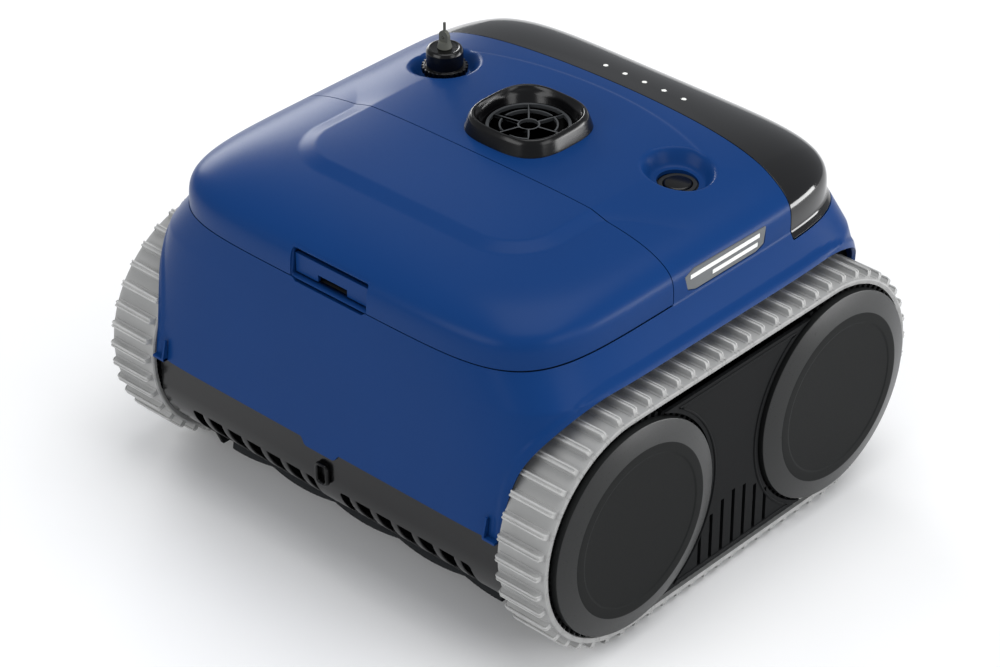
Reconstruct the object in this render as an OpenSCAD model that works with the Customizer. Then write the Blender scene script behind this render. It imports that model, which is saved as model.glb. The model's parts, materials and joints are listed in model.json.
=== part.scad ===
// Tracked cordless pool cleaner. +Z up, -Y is the filter lid end, X is the width.
// The origin is on the floor under the middle of the machine.

/* [Tracks] */
// Distance from one track cleat to the next
cleat_pitch = 15.2; // [12:0.1:18.5]
// Height of a cleat above the belt
cleat_h = 6.2; // [4:0.1:8]
// Thickness of the belt between its cleats and its teeth
belt_t = 3.8; // [3:0.1:5]
// Width of a belt
belt_w = 44; // [36:1:54]
// Width over the outer edges of both belts
tread_span = 432.4; // [380:1:520]
// Margin from a belt edge to the end of its cleats
cleat_inset = 4.8; // [3:0.1:8]
// Height of a drive tooth inside the belt
tooth_h = 3; // [2:0.1:3.4]

/* [Wheels] */
// Radius of the flat face of a wheel cover
cover_face_r = 66; // [40:1:72]
// How far a wheel cover stands out past the belt edge
cover_proud = 8.5; // [6:0.1:12]
// Radius of the fixed wheel axles
axle_r = 5; // [4:0.1:8]
// Radius of the wheel's hub sleeve
sleeve_r = 10; // [9:0.1:14]

/* [Shell] */
// Height of the crown of the shell
shell_top = 272; // [240:1:330]
// Height of the seam under the filter lid
seam_z = 225; // [215:1:235]
// Height of the lower edge of the shell
shell_bottom = 104; // [90:1:120]
// Half width of the shell at the lid seam
shell_hx = 183; // [165:1:205]
// Half length of the shell at the lid seam
shell_hy = 184; // [160:1:210]
// Half width over the fenders
fender_hx = 200; // [180:1:215]
// Extra half length at the lower edge of the shell
shell_lean = 13.5; // [8:0.1:18]
// Wall thickness of the shell, lid and band
wall = 3; // [2:0.1:4]
// Gap between the lid, the band and the shell
seam_gap = 0.6; // [0.4:0.1:1.2]
// Place of the lid's rear seam along the machine
lid_rear_y = -33; // [-45:1:-20]
// Place of the band's front edge on the centre line
band_y = 118; // [105:1:130]
// Height of the lower edge of the band
band_z = 220; // [216:1:228]

/* [Lid hinge and latch] */
// Depth of the hinge axis below the crown
hinge_drop = 8; // [7:0.1:10]
// Distance of the hinge axis in front of the rear seam
hinge_back = 7; // [6:0.1:9]
// Radius of the hinge pins
hinge_pin_r = 2; // [1.5:0.1:2.5]
// Width of the latch pocket
latch_w = 74; // [56:1:90]
// Height of the latch pocket
latch_h = 23; // [22:0.5:25]
// Radius of the latch pivot
latch_pin_r = 1.6; // [1.2:0.1:2]

/* [Outlet] */
// Place of the outlet along the machine
outlet_y = 21; // [15:1:28]
// Half width of the outlet bezel at its top rim
outlet_half = 37.5; // [32:0.5:44]
// Height of the bezel above the shell
outlet_h = 12.5; // [8:0.1:16]
// Bore radius of the thruster duct
duct_r = 30; // [25:0.5:34]
// Clearance between the propeller and its duct
tip_gap = 1.5; // [1:0.1:3]

/* [Dishes, cap and button] */
// Distance of a dish from the centre line
dish_x = 113.5; // [105:0.5:120]
// Place of the dishes along the machine
dish_y = 53; // [48:0.5:60]
// Radius of a dish at its rim
dish_r = 26.5; // [24:0.5:29]
// Radius of the port cap
cap_r = 14; // [11:0.1:15]
// Radius of the push button
button_r = 10.5; // [8:0.1:12]
// Travel of the push button
button_travel = 2; // [1:0.1:3]

/* [Base] */
// Half width of the chassis tub
tub_hx = 149; // [140:1:152]
// Height of the tub floor above the ground
tub_z = 30; // [26:1:36]
// Radius of the front skirt's curve
skirt_r = 50.5; // [47:0.5:54]
// Radius of the roller brush
brush_r = 29; // [24:0.5:30]
// Module of the drive gears
gear_m = 1.7; // [1.5:0.05:1.8]
// Radius of the drive motors
motor_r = 16; // [13:0.5:18]

/* [Hidden] */

$fn = 64;
eps = 0.01;
big = 1000;
clear = 0.3;
running = 0.05;

// Track geometry. The belt's inner teeth are half a cleat pitch apart, a wheel has 72 grooves
// and the two wheels are 29 teeth apart, so the loop holds 65 cleats.
wheel_teeth = 72;
span_teeth = 29;
cleats = (wheel_teeth + 2 * span_teeth) / 2;
tooth_pitch = cleat_pitch / 2;
pitch_r = wheel_teeth * tooth_pitch / (2 * PI);
wheelbase = span_teeth * tooth_pitch;
belt_in_r = pitch_r - belt_t / 2;
belt_out_r = pitch_r + belt_t / 2;
tip_r = belt_out_r + cleat_h;
axle_z = tip_r;
axle_y = wheelbase / 2;
belt_out_x = tread_span / 2;
belt_in_x = belt_out_x - belt_w;
half_loop = wheel_teeth / 2 * tooth_pitch;
loop_len = cleats * cleat_pitch;

// Wheels
wheel_r = belt_in_r - clear;
wheel_in_x = belt_in_x + 1.8;
wheel_out_x = belt_out_x - 2.2;
cover_r = belt_in_r - tooth_h - 0.2;
cover_x = belt_out_x + cover_proud;
cover_side = 6;

// Shell form
lip_z = 2 * tip_r + 9.6;
arch_x = belt_in_x - 0.7;
arch_r = lip_z - axle_z;
plan_n = 5.8;
crown_m = 3.7;
crown_h = shell_top - seam_z;
facets = 64;
crown_steps = 9;

// Hinge of the lid
hinge_y = lid_rear_y - hinge_back;
hinge_z = shell_top - hinge_drop;
hinge_eye_r = 4.2;
hinge_wall_y = lid_rear_y + 2;
corner_drop = norm([hinge_back, hinge_z - seam_z]) - (hinge_z - seam_z);
ear_x = 70;
ear_w = 6;

// Latch pivot, behind the pocket floor
latch_pin = [-shell_hy + 14, seam_z + 14];
latch_face_y = -shell_hy + 4.5;
latch_roof_z = seam_z + latch_h - 2.5;

// Roller brush and gears: 60 teeth on the wheel's gear, 12 on the pinion, 20 on the brush gear.
bull_teeth = 60;
pinion_teeth = 12;
brush_teeth = 20;
gear_x = tub_hx + 2;
gear_w = 6;
brush_dir = 246;
pinion_dir = -12;
brush_dist = gear_m * (bull_teeth + brush_teeth) / 2;
pinion_dist = gear_m * (bull_teeth + pinion_teeth) / 2;
brush_pos = [-axle_y + brush_dist * cos(brush_dir), axle_z + brush_dist * sin(brush_dir)];
pinion_pos = [-axle_y + pinion_dist * cos(pinion_dir), axle_z + pinion_dist * sin(pinion_dir)];
brush_shaft_r = 4;
frame_in_x = gear_x + gear_w + 3;
frame_out_x = arch_x - wall - 0.6;

// Skirt: a straight upper part and an arc that curls under
skirt_y = -(shell_hy + 9.5);
skirt_axis = [skirt_y + skirt_r, shell_bottom - 24];
skirt_t = 3;
skirt_end = 56;
skirt_hx = arch_x - 0.5;
window_in = 13;
window_out = 140;
window_z = [48, 68];
rib_pitch = 11;

// Outlet, duct and propeller
duct_wall = 3;
duct_top = shell_top - 0.8;
prop_z = shell_top - 22;
shaft_r = 3;
grille_t = 2.6;

// Indicators, a row of five that stands a little to the right of the middle
lens_pitch = 19;
lens_mid = 10.3;
lens_y = band_y + 19;
lens_r = 2;
board_top = shell_top - 15.4;
led_h = 1.2;

// Dishes
dish_rim_z = 269;
dish_floor_z = 257;
hole_r = cap_r + 1;
cup_floor_z = dish_floor_z - 3;
cup_flange_r = hole_r + 3;
cap_top = 282;
neck_r = 11;
stem_r = 2;

// Filter bay
bay_front = -shell_hy + 24;
bay_back = lid_rear_y - 8;
bay_hx = tub_hx - 4;
bay_floor = 122;
bay_rim = seam_z - 6;
throat = [46, 13];
throat_y = -89;
flap_pin = [throat_y + throat[1] - 2.2, bay_floor - 2.4];
flap_pin_r = 1.2;
tub_front = throat_y - throat[1] - 4;
tub_rear = -skirt_axis[0] + 15;
hub_notch_z = tub_z + 133;
handle_pin = [(bay_front + bay_back) / 2, bay_rim - 8];

module mirrored(side) {
  if (side < 0) mirror([1, 0, 0]) children();
  else children();
}

// Along +X from x, a shape drawn in the Y-Z plane
module along_x(x, len) {
  translate([x, 0, 0]) rotate([90, 0, 90]) linear_extrude(len) children();
}

module rod_x(x, len, pos, r) {
  translate([x, pos[0], pos[1]]) rotate([0, 90, 0]) cylinder(r = r, h = len);
}

// Box between two corners
module span(low, high) {
  translate(low) cube(high - low);
}

function superellipse(a, b, n, count) = [
  for (i = [0 : count - 1])
    let (t = 360 * (i + 0.5) / count, c = cos(t), s = sin(t))
      [a * sign(c) * pow(abs(c), 2 / n), b * sign(s) * pow(abs(s), 2 / n)]
];

function mix(a, b, t) = a + (b - a) * t;

// Height of the crowned top at a place
function crown_z(x, y) =
  seam_z + crown_h * pow(max(0, 1 - pow(pow(abs(x / shell_hx), plan_n) + pow(abs(y / shell_hy), plan_n),
                                        crown_m / plan_n)), 1 / crown_m);

// Half width, half length and squareness of the shell at a height below the seam
function low_section(z) =
  z >= lip_z
    ? let (t = (z - lip_z) / (seam_z - lip_z))
        [mix(fender_hx, shell_hx, t), mix(shell_hy + 3, shell_hy, t), mix(6.5, plan_n, t)]
    : let (t = (z - shell_bottom) / (lip_z - shell_bottom))
        [fender_hx, mix(shell_hy + shell_lean, shell_hy + 3, t), mix(12, 6.5, t)];

low_levels = [shell_bottom, mix(shell_bottom, lip_z, 0.5), lip_z, seam_z];

// The solid form of the shell, drawn in by the given inset
module form(inset) {
  for (i = [0 : len(low_levels) - 2]) {
    drop = i == 0 && inset > 0 ? 1 : 0;
    hull() {
      slice(low_levels[i] - drop, low_section(low_levels[i]), inset, 1);
      slice(low_levels[i + 1], low_section(low_levels[i + 1]), inset, 1);
    }
  }
  for (i = [0 : crown_steps - 1]) hull() {
    crown_slice(i / crown_steps, inset);
    crown_slice((i + 1) / crown_steps, inset);
  }
}

module slice(z, section, inset, scale_by) {
  translate([0, 0, z]) linear_extrude(eps)
    polygon(superellipse((section[0] - inset) * scale_by, (section[1] - inset) * scale_by,
                         section[2], facets));
}

module crown_slice(t, inset) {
  rise = pow(sin(90 * t), 2 / crown_m);
  width = max(pow(cos(90 * t), 2 / crown_m), 0.08);
  slice(seam_z + (crown_h - inset) * rise, [shell_hx, shell_hy, plan_n], inset, width);
}

// Space for a track, outside x, grown by g
module track_arch(x, g) {
  for (side = [-1, 1]) mirrored(side) along_x(x, 100) {
    for (end = [-1, 1]) translate([end * axle_y, axle_z]) circle(r = arch_r + g, $fn = 72);
    translate([-axle_y, 0]) square([wheelbase, axle_z + arch_r + g]);
    translate([-big / 2, -big / 2]) square([big, big / 2 + axle_z]);
  }
}

module shell_wall() {
  difference() {
    difference() { form(0); track_arch(arch_x, 0); }
    difference() { form(wall); track_arch(arch_x - wall, wall); }
  }
}

// The volume that belongs to the lid, grown by g
module lid_zone(g) {
  span([-big, -big, seam_z - g], [big, lid_rear_y + g, big]);
}

// The volume that belongs to the band, grown by g: its front edge bows forwards at the sides
module band_zone(g) {
  translate([0, 0, band_z - g]) linear_extrude(big) polygon(concat(
    [for (i = [-10 : 10]) [i * 21, band_y - 20 * pow(i * 21 / 180, 2) - g]],
    [[210, big], [-210, big]]));
}

module dish_cut(side) {
  depth = dish_rim_z - dish_floor_z;
  floor_r = hole_r + 1;
  translate([side * dish_x, dish_y, dish_floor_z])
    cylinder(r1 = floor_r, r2 = floor_r + (dish_r - floor_r) * 1.5, h = depth * 1.5);
}

// Room for the lid's rear edge as it swings: a turned body around the hinge axis
module hinge_sweep() {
  half = 144;
  translate([0, hinge_y, hinge_z]) rotate([0, 90, 0]) rotate_extrude($fn = 48) polygon(concat([[0, -half]],
    [for (x = [-half : 12 : half])
      [norm([hinge_back, max(0, crown_z(x, lid_rear_y) - hinge_z)]) + clear, x]], [[0, half]]));
}

module squircle(half, depth) {
  linear_extrude(depth) polygon(superellipse(half, half, 3, 48));
}

module side_light_outline(g) {
  polygon([[-20 - g, seam_z + 15], [-17, seam_z + 4 - g], [-8, seam_z + 1 - g],
           [58, seam_z + 1 - g], [66 + g, seam_z + 4], [68 + g, seam_z + 17 + g],
           [-10, seam_z + 18 + g]]);
}

// ---------------------------------------------------------------- shell, lid and band

module upper_shell() {
  color("#1f3a6b") render() difference() {
    union() {
      difference() {
        shell_wall();
        lid_zone(seam_gap);
        band_zone(seam_gap);
      }
      // Dish cups
      for (side = [-1, 1]) intersection() {
        translate([side * dish_x, dish_y, dish_floor_z - 3])
          cylinder(r1 = hole_r + 4, r2 = dish_r + 4, h = dish_rim_z - dish_floor_z + 3);
        form(0);
      }
      // Flange that carries the lid gasket and the basket
      intersection() {
        difference() {
          form(1);
          form(20);
        }
        span([-big, -big, bay_rim - 3], [big, hinge_wall_y + wall, bay_rim]);
      }
      // Cross wall behind the filter bay
      intersection() {
        form(1);
        difference() {
          span([-big, hinge_wall_y, hub_notch_z + 3], [big, hinge_wall_y + wall, hinge_z - 13]);
          track_arch(arch_x - 1, 1);
        }
      }
      // Tab at the lower front edge
      hull() {
        span([-18.5, -shell_hy - 13, shell_bottom - 1], [18.5, -shell_hy - 10.5, shell_bottom + 2]);
        span([-14, -shell_hy - 13, shell_bottom - 6], [14, -shell_hy - 10.5, shell_bottom]);
      }
    }
    for (side = [-1, 1]) {
      dish_cut(side);
      translate([side * dish_x, dish_y, dish_floor_z - 10]) cylinder(r = hole_r, h = 20);
      mirrored(side) along_x(shell_hx - 8, 30) side_light_outline(clear);
      // Notch in the side wall around the wheel hubs
      mirrored(side) span([tub_hx, -axle_y - 48, 0], [arch_x + 5, axle_y + 48, hub_notch_z]);
    }
    translate([0, outlet_y, shell_top - 20]) cylinder(r = duct_r + duct_wall + clear, h = 40);
    hinge_sweep();
    span([-big, hinge_y - 14, seam_z - seam_gap - corner_drop], [big, lid_rear_y + seam_gap, seam_z]);
  }
}

module filter_lid() {
  color("#21407a") render() difference() {
    intersection() {
      difference() { form(0); form(wall); }
      lid_zone(0);
    }
    // Latch pocket in the lower front edge
    span([-latch_w / 2, -big, seam_z - 1], [latch_w / 2, -shell_hy + 20, latch_roof_z]);
  }
  // Pocket frame behind the skin
  color("#21407a") difference() {
    span([-latch_w / 2 - 4, -shell_hy + 4, seam_z], [latch_w / 2 + 4, latch_pin[0] + 4, latch_roof_z + 2]);
    span([-latch_w / 2, -shell_hy - 1, seam_z - 1], [latch_w / 2, latch_pin[0] + 10, latch_roof_z]);
    rod_x(-latch_w / 2 - 10, latch_w + 20, latch_pin, latch_pin_r + running);
  }
}

module rear_band() {
  color("#0c0c0d") render() difference() {
    intersection() {
      difference() { form(0); form(wall); }
      difference() { band_zone(0); track_arch(arch_x, 0); }
    }
    for (i = [-2 : 2]) translate([lens_mid + i * lens_pitch, lens_y, board_top])
      cylinder(r = lens_r + 0.1, h = 60, $fn = 16);
  }
}

// ---------------------------------------------------------------- lid hardware

module lid_hinge_arms() {
  color("#1b2430") for (side = [-1, 1]) mirrored(side) difference() {
    union() {
      span([ear_x, hinge_y - 34, hinge_z - 2], [ear_x + ear_w, hinge_y, hinge_z + 3]);
      span([ear_x, hinge_y - 34, hinge_z - 2],
           [ear_x + ear_w, hinge_y - 12, crown_z(ear_x + ear_w, hinge_y - 34) - wall - clear]);
      rod_x(ear_x, ear_w, [hinge_y, hinge_z], hinge_eye_r);
    }
    rod_x(ear_x - 1, ear_w + 2, [hinge_y, hinge_z], hinge_pin_r + running);
  }
}

module lid_hinge_bracket() {
  color("#1b2430") for (side = [-1, 1]) mirrored(side) difference() {
    union() {
      rod_x(ear_x - ear_w - clear, ear_w, [hinge_y, hinge_z], hinge_eye_r);
      span([ear_x - ear_w - clear, hinge_y - hinge_eye_r, hinge_z - 18], [ear_x - clear, hinge_y + 1, hinge_z]);
      span([ear_x - ear_w - clear, hinge_y - hinge_eye_r, hinge_z - 18], [ear_x - clear, hinge_wall_y, hinge_z - 13.5]);
    }
    rod_x(0, 200, [hinge_y, hinge_z], hinge_pin_r);
  }
}

module lid_hinge_pins() {
  color("silver") for (side = [-1, 1]) mirrored(side)
    rod_x(ear_x - ear_w - clear, 2 * ear_w + clear, [hinge_y, hinge_z], hinge_pin_r);
}

module lid_latch() {
  color("#1a325d") {
    difference() {
      union() {
        // Paddle and the web back to its pivot
        span([-latch_w / 2 + 1, latch_face_y, seam_z + 1.5], [latch_w / 2 - 1, latch_face_y + 3, latch_pin[1] + 3]);
        span([-latch_w / 2 + 1, latch_face_y, latch_pin[1] - 2], [latch_w / 2 - 1, latch_pin[0] + 1, latch_pin[1] + 2]);
        rod_x(-latch_w / 2 + 1, latch_w - 2, latch_pin, 3);
      }
      // Finger opening at the lower edge
      span([-14, -big, seam_z], [14, -shell_hy + 30, seam_z + 7]);
    }
    rod_x(-latch_w / 2 - 3, latch_w + 6, latch_pin, latch_pin_r);
  }
}

module lid_gasket() {
  color("#303234") translate([0, 0, bay_rim]) linear_extrude(3) intersection() {
    difference() {
      polygon(superellipse(shell_hx - 5.5, shell_hy - 5.5, plan_n, facets));
      polygon(superellipse(shell_hx - 9.5, shell_hy - 9.5, plan_n, facets));
    }
    translate([-big / 2, -big]) square([big, big + lid_rear_y]);
  }
}

// ---------------------------------------------------------------- display and side lights

module indicator_lenses() {
  color("white") for (i = [-2 : 2]) let (x = lens_mid + i * lens_pitch) translate([x, lens_y, board_top + led_h])
    cylinder(r = lens_r, h = crown_z(x, lens_y) + 0.2 - board_top - led_h, $fn = 16);
}

module control_board() {
  color("#1d5c34") {
    span([-55, lens_y - 11, board_top - 1.6], [55, lens_y + 13, board_top]);
    for (i = [-2 : 2]) translate([lens_mid + i * lens_pitch - 2.5, lens_y - 2.5, board_top]) cube([5, 5, led_h]);
    span([-20, lens_y - 9, board_top - 6.6], [20, lens_y + 9, board_top - 1.6]);
  }
}

module light_bezel(side) {
  color("#8d9499") mirrored(side) difference() {
    along_x(shell_hx - 7.5, 7) side_light_outline(0);
    along_x(shell_hx - 3, 10) light_slot(0);
    along_x(shell_hx - 3, 10) light_slot(1);
  }
}

module light_slot(row) {
  translate([row == 0 ? -14 : 10, seam_z + (row == 0 ? 10.5 : 4)]) square([row == 0 ? 76 : 50, 4]);
}

module light_bars(side) {
  color("white") mirrored(side) for (row = [0, 1])
    along_x(shell_hx - 3, 2.4) offset(delta = -0.15) light_slot(row);
}

// ---------------------------------------------------------------- outlet and thruster

module outlet_bezel() {
  color("#151616") translate([0, outlet_y, 0]) difference() {
    hull() {
      translate([0, 0, shell_top + eps]) squircle(outlet_half + 4, eps);
      translate([0, 0, shell_top + outlet_h - 2.5]) squircle(outlet_half + 0.5, eps);
      translate([0, 0, shell_top + outlet_h - 0.5]) squircle(outlet_half - 0.5, eps);
    }
    hull() {
      translate([0, 0, shell_top + outlet_h]) squircle(outlet_half - 2, eps);
      translate([0, 0, shell_top - 1]) squircle(outlet_half - 6, eps);
    }
  }
}

module outlet_grille() {
  color("#101111") translate([0, outlet_y, duct_top]) {
    difference() {
      cylinder(r = duct_r + 1, h = grille_t);
      translate([0, 0, -1]) cylinder(r = duct_r - 1.2, h = grille_t + 2);
    }
    for (r = [7.7, 21]) difference() {
      cylinder(r = r + 0.6, h = grille_t);
      translate([0, 0, -1]) cylinder(r = r - 0.6, h = grille_t + 2);
    }
    for (a = [0 : 60 : 300]) rotate(a + 12) translate([7.4, -0.6, 0]) cube([duct_r - 8, 1.2, grille_t]);
  }
}

module thruster_duct() {
  color("#1c1d1e") translate([0, outlet_y, 0]) {
    difference() {
      cylinder(r = duct_r + duct_wall, h = duct_top);
      translate([0, 0, -1]) cylinder(r = duct_r, h = shell_top + 2);
      translate([0, 0, -1]) cylinder(r = duct_r + 10, h = prop_z - 69);
    }
    for (a = [30 : 120 : 270]) rotate(a)
      translate([17.5, -1.5, prop_z - 66]) cube([duct_r - 16.5, 3, 40]);
    difference() {
      translate([0, 0, prop_z - 66]) cylinder(r = 18.5, h = 46);
      translate([0, 0, prop_z - 67]) cylinder(r = 16.5, h = 48);
    }
  }
}

module thruster_motor() {
  color("#2a2c2e") translate([0, outlet_y, prop_z - 64]) {
    difference() {
      cylinder(r = 16.4, h = 42);
      translate([0, 0, 30]) cylinder(r = shaft_r + running, h = 20);
    }
    translate([0, 0, 42]) difference() {
      cylinder(r = 6, h = 4);
      translate([0, 0, -1]) cylinder(r = shaft_r + running, h = 6);
    }
  }
}

module propeller_shaft() {
  color("silver") translate([0, outlet_y, prop_z - 33]) cylinder(r = shaft_r, h = 42);
}

module propeller() {
  color("#3a3d40") translate([0, outlet_y, prop_z - 7]) difference() {
    union() {
      cylinder(r = 8, h = 14);
      for (a = [0 : 120 : 240]) rotate(a) translate([6, 0, 7]) rotate([35, 0, 0])
        translate([0, -8, -1]) cube([duct_r - tip_gap - 9, 16, 2]);
    }
    translate([0, 0, -1]) cylinder(r = shaft_r, h = 17);
  }
}

// ---------------------------------------------------------------- cap, socket and button

module port_cap() {
  color("#161616") translate([-dish_x, dish_y, 0]) difference() {
    union() {
      translate([0, 0, dish_floor_z + 1]) cylinder(r = cap_r, h = cap_top - dish_floor_z - 2);
      translate([0, 0, cap_top - 1]) cylinder(r1 = cap_r, r2 = cap_r - 1, h = 1);
      // Toothed flange
      translate([0, 0, dish_floor_z + 6]) for (a = [0 : 15 : 345]) rotate(a)
        translate([cap_r - 1, -1, 0]) cube([3.2, 2, 4]);
      translate([0, 0, dish_floor_z + 5]) cylinder(r = cap_r + 1, h = 4);
    }
    translate([0, 0, dish_floor_z - 1]) cylinder(r = neck_r + clear, h = 16);
    translate([0, 0, cap_top - 6.5]) cylinder(r = stem_r + running, h = 10);
  }
}

module cap_seal() {
  color("#333333") translate([-dish_x, dish_y, dish_floor_z - 1.4]) difference() {
    cylinder(r = neck_r + 2.4, h = 2.2);
    translate([0, 0, -1]) cylinder(r = neck_r, h = 5);
  }
}

module charge_socket() {
  color("#202224") translate([-dish_x, dish_y, 0]) difference() {
    union() {
      translate([0, 0, cup_floor_z - 3]) cylinder(r = cup_flange_r, h = 3);
      translate([0, 0, cup_floor_z - 16]) cylinder(r = hole_r - 1, h = dish_floor_z - 1.4 - cup_floor_z + 16);
      translate([0, 0, cup_floor_z]) cylinder(r = neck_r, h = 16);
    }
    translate([0, 0, cup_floor_z - 8]) cylinder(r = neck_r - 2.5, h = 40);
  }
}

module cap_eyelet() {
  color("#77776f") translate([-dish_x, dish_y, cap_top + clear]) difference() {
    union() {
      cylinder(r1 = 5.6, r2 = 4.4, h = 5);
      translate([0, 0, -6]) cylinder(r = stem_r, h = 7);
      translate([0, 1.5, 0]) rotate([90, 0, 0]) linear_extrude(3) union() {
        translate([-4.4, 4]) square([8.8, 5.4]);
        translate([0, 9.4]) circle(r = 4.4, $fn = 32);
      }
    }
    translate([0, 5, 8.4]) rotate([90, 0, 0]) cylinder(r = 1.4, h = 10, $fn = 24);
    translate([0, 0, 11]) cylinder(r = 1.1, h = 6, $fn = 24);
  }
}

module tether_pin() {
  color("#55564f") translate([-dish_x, dish_y, cap_top + clear + 11]) cylinder(r = 1.1, h = 9.5, $fn = 24);
}

module power_button() {
  color("#111214") translate([dish_x, dish_y, dish_floor_z - 6]) {
    cylinder(r = button_r, h = 5);
    translate([0, 0, 5]) cylinder(r1 = button_r, r2 = button_r - 1.2, h = 1.2);
    translate([0, 0, -6]) cylinder(r = 4, h = 6);
  }
}

module button_seal() {
  color("#2b2c2e") translate([dish_x, dish_y, dish_floor_z - 15]) difference() {
    union() {
      cylinder(r = hole_r - 1, h = 14);
      translate([0, 0, 9]) cylinder(r = cup_flange_r, h = 3);
    }
    translate([0, 0, 2.5]) cylinder(r = button_r + 0.4, h = 20);
    translate([0, 0, -1]) cylinder(r = 4.4, h = 10);
  }
}

// ---------------------------------------------------------------- base

module base_chassis() {
  color("#17181a") difference() {
    union() {
      // Floor and side walls
      span([-tub_hx, tub_front, tub_z], [tub_hx, tub_rear, tub_z + 3]);
      for (side = [-1, 1]) mirrored(side) along_x(tub_hx - 3, 3) polygon(concat(
        [[skirt_y + 5, shell_bottom + 8], [skirt_y + 5, 86], [brush_pos[0] - 20, brush_pos[1] - 17],
         [brush_pos[0] + 20, brush_pos[1] - 17], [tub_front + 2, tub_z], [tub_rear, tub_z]],
        [for (a = [-50 : 10 : 0]) [-skirt_axis[0], skirt_axis[1]] + (skirt_r - skirt_t - 1) * [cos(a), sin(a)]],
        [[-skirt_y - 5, shell_bottom + 8]]));
      // Cross walls
      for (y = [tub_front, tub_rear - 3]) span([-tub_hx, y, tub_z], [tub_hx, y + 3, shell_bottom + 4]);
      // Suction throat
      difference() {
        span([-throat[0] - 2, throat_y - throat[1] - 2, tub_z], [throat[0] + 2, throat_y + throat[1] + 2, bay_floor - 1]);
        span([-throat[0], throat_y - throat[1], 0], [throat[0], throat_y + throat[1], 200]);
      }
      // Shelf over the brush
      span([-tub_hx, skirt_y + 5, shell_bottom + 5], [tub_hx, tub_front + 3, shell_bottom + 8]);
    }
    span([-throat[0], throat_y - throat[1], 0], [throat[0], throat_y + throat[1], bay_floor - 4]);
    rod_x(-throat[0] - 5, 2 * throat[0] + 10, flap_pin, flap_pin_r + running);
    for (side = [-1, 1]) mirrored(side) {
      for (end = [-1, 1]) rod_x(tub_hx - 10, 20, [end * axle_y, axle_z], axle_r);
      rod_x(tub_hx - 10, 20, brush_pos, brush_shaft_r + 2.5);
      rod_x(tub_hx - 10, 20, pinion_pos, 4.5);
    }
  }
}

// Arc and straight front of the skirt, in the Y-Z plane
function skirt_outline(r_out, r_in, from, to) = concat(
  [for (i = [0 : 12]) let (a = mix(from, to, i / 12)) skirt_axis + r_out * [cos(a), sin(a)]],
  [for (i = [12 : -1 : 0]) let (a = mix(from, to, i / 12)) skirt_axis + r_in * [cos(a), sin(a)]]);

module skirt_body() {
  along_x(-skirt_hx, 2 * skirt_hx) {
    polygon(skirt_outline(skirt_r, skirt_r - skirt_t, 180, 180 + skirt_end));
    translate([skirt_y, skirt_axis[1] - eps]) square([skirt_t, shell_bottom - clear - skirt_axis[1]]);
  }
  // Tongue behind the shell's lower edge
  span([-skirt_hx + 14, skirt_y + 1, shell_bottom - 2], [skirt_hx - 14, skirt_y + skirt_t, shell_bottom + 4]);
  // End cheeks
  for (side = [-1, 1]) mirrored(side) along_x(skirt_hx - 2.6, 2.6) polygon(concat(
    [for (i = [0 : 12]) let (a = 180 + skirt_end * i / 12) skirt_axis + (skirt_r - 1) * [cos(a), sin(a)]],
    [[skirt_axis[0] - 6, skirt_axis[1] - 36], [skirt_y + 30, shell_bottom - 2], [skirt_y + 1, shell_bottom - 2]]));
}

module front_skirt() {
  color("#141516") difference() {
    union() {
      difference() {
        skirt_body();
        for (side = [-1, 1]) mirrored(side)
          span([window_in, skirt_y - 5, window_z[0]], [window_out, skirt_y + 24, window_z[1]]);
      }
      // Ribs across the windows
      for (side = [-1, 1]) mirrored(side)
        for (x = [window_in + rib_pitch : rib_pitch : window_out - 4]) along_x(x, 2)
          polygon(skirt_outline(skirt_r - 0.8, skirt_r - 6, 190, 222));
      // Clip boss
      span([-4.5, skirt_y - 3, 70], [4.5, skirt_y + 1, 86]);
    }
    rod_x(-2, 4, [skirt_y - 3, 78], 2.2);
  }
}

module rear_skirt() {
  color("#141516") mirror([0, 1, 0]) skirt_body();
}

module side_frame(side) {
  color("#1a1b1d") mirrored(side) difference() {
    along_x(frame_in_x, frame_out_x - frame_in_x) difference() {
      union() {
        translate([-axle_y - 46, tub_z + 4]) square([wheelbase + 92, 128]);
        translate(brush_pos) circle(r = 22);
      }
      translate([0, axle_z]) for (y = [-1, 1]) translate([y * axle_y, 0]) circle(r = sleeve_r + 3);
      translate(brush_pos) circle(r = 4.2);
    }
    for (y = [-22, 22]) for (z = [46, 146]) rod_x(0, 300, [y, z], 2.2);
  }
}

module side_panel(side) {
  color("#181a1b") mirrored(side) difference() {
    union() {
      along_x(belt_out_x - 1.9, 3) difference() {
        translate([-80, axle_z - 79]) square([160, 158]);
        for (end = [-1, 1]) translate([end * axle_y, axle_z]) circle(r = cover_r + 2.5);
        for (i = [0 : 6]) translate([-38.2 + 12.2 * i, axle_z - 74]) square([3.6, 18 + 29 * sin(20 + 23 * i)]);
      }
      for (y = [-22, 22]) for (z = [46, 146])
        rod_x(frame_out_x, belt_out_x - frame_out_x - 1, [y, z], 5);
    }
    for (y = [-22, 22]) for (z = [46, 146]) rod_x(frame_out_x - 5, 20, [y, z], 1.6);
  }
}

module screws() {
  color("silver") for (side = [-1, 1]) mirrored(side)
    for (y = [-22, 22]) for (z = [46, 146]) {
      rod_x(frame_in_x - 2, 14, [y, z], 1.6);
      rod_x(frame_in_x - 2.2, 2.2, [y, z], 3.4);
    }
}

// ---------------------------------------------------------------- drive

// Gear outline with plain tapered teeth, a tooth on the +Y axis turned by phase
function gear_points(teeth, phase) =
  let (r = gear_m * teeth / 2, tip = r + 0.85 * gear_m, root = r - 1.15 * gear_m,
       half_root = 0.29 * 360 / teeth, half_tip = 0.12 * 360 / teeth)
    [for (i = [0 : teeth - 1]) for (p = [[-half_root, root], [-half_tip, tip], [half_tip, tip], [half_root, root]])
      let (a = phase + i * 360 / teeth + p[0]) p[1] * [cos(a), sin(a)]];

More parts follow.
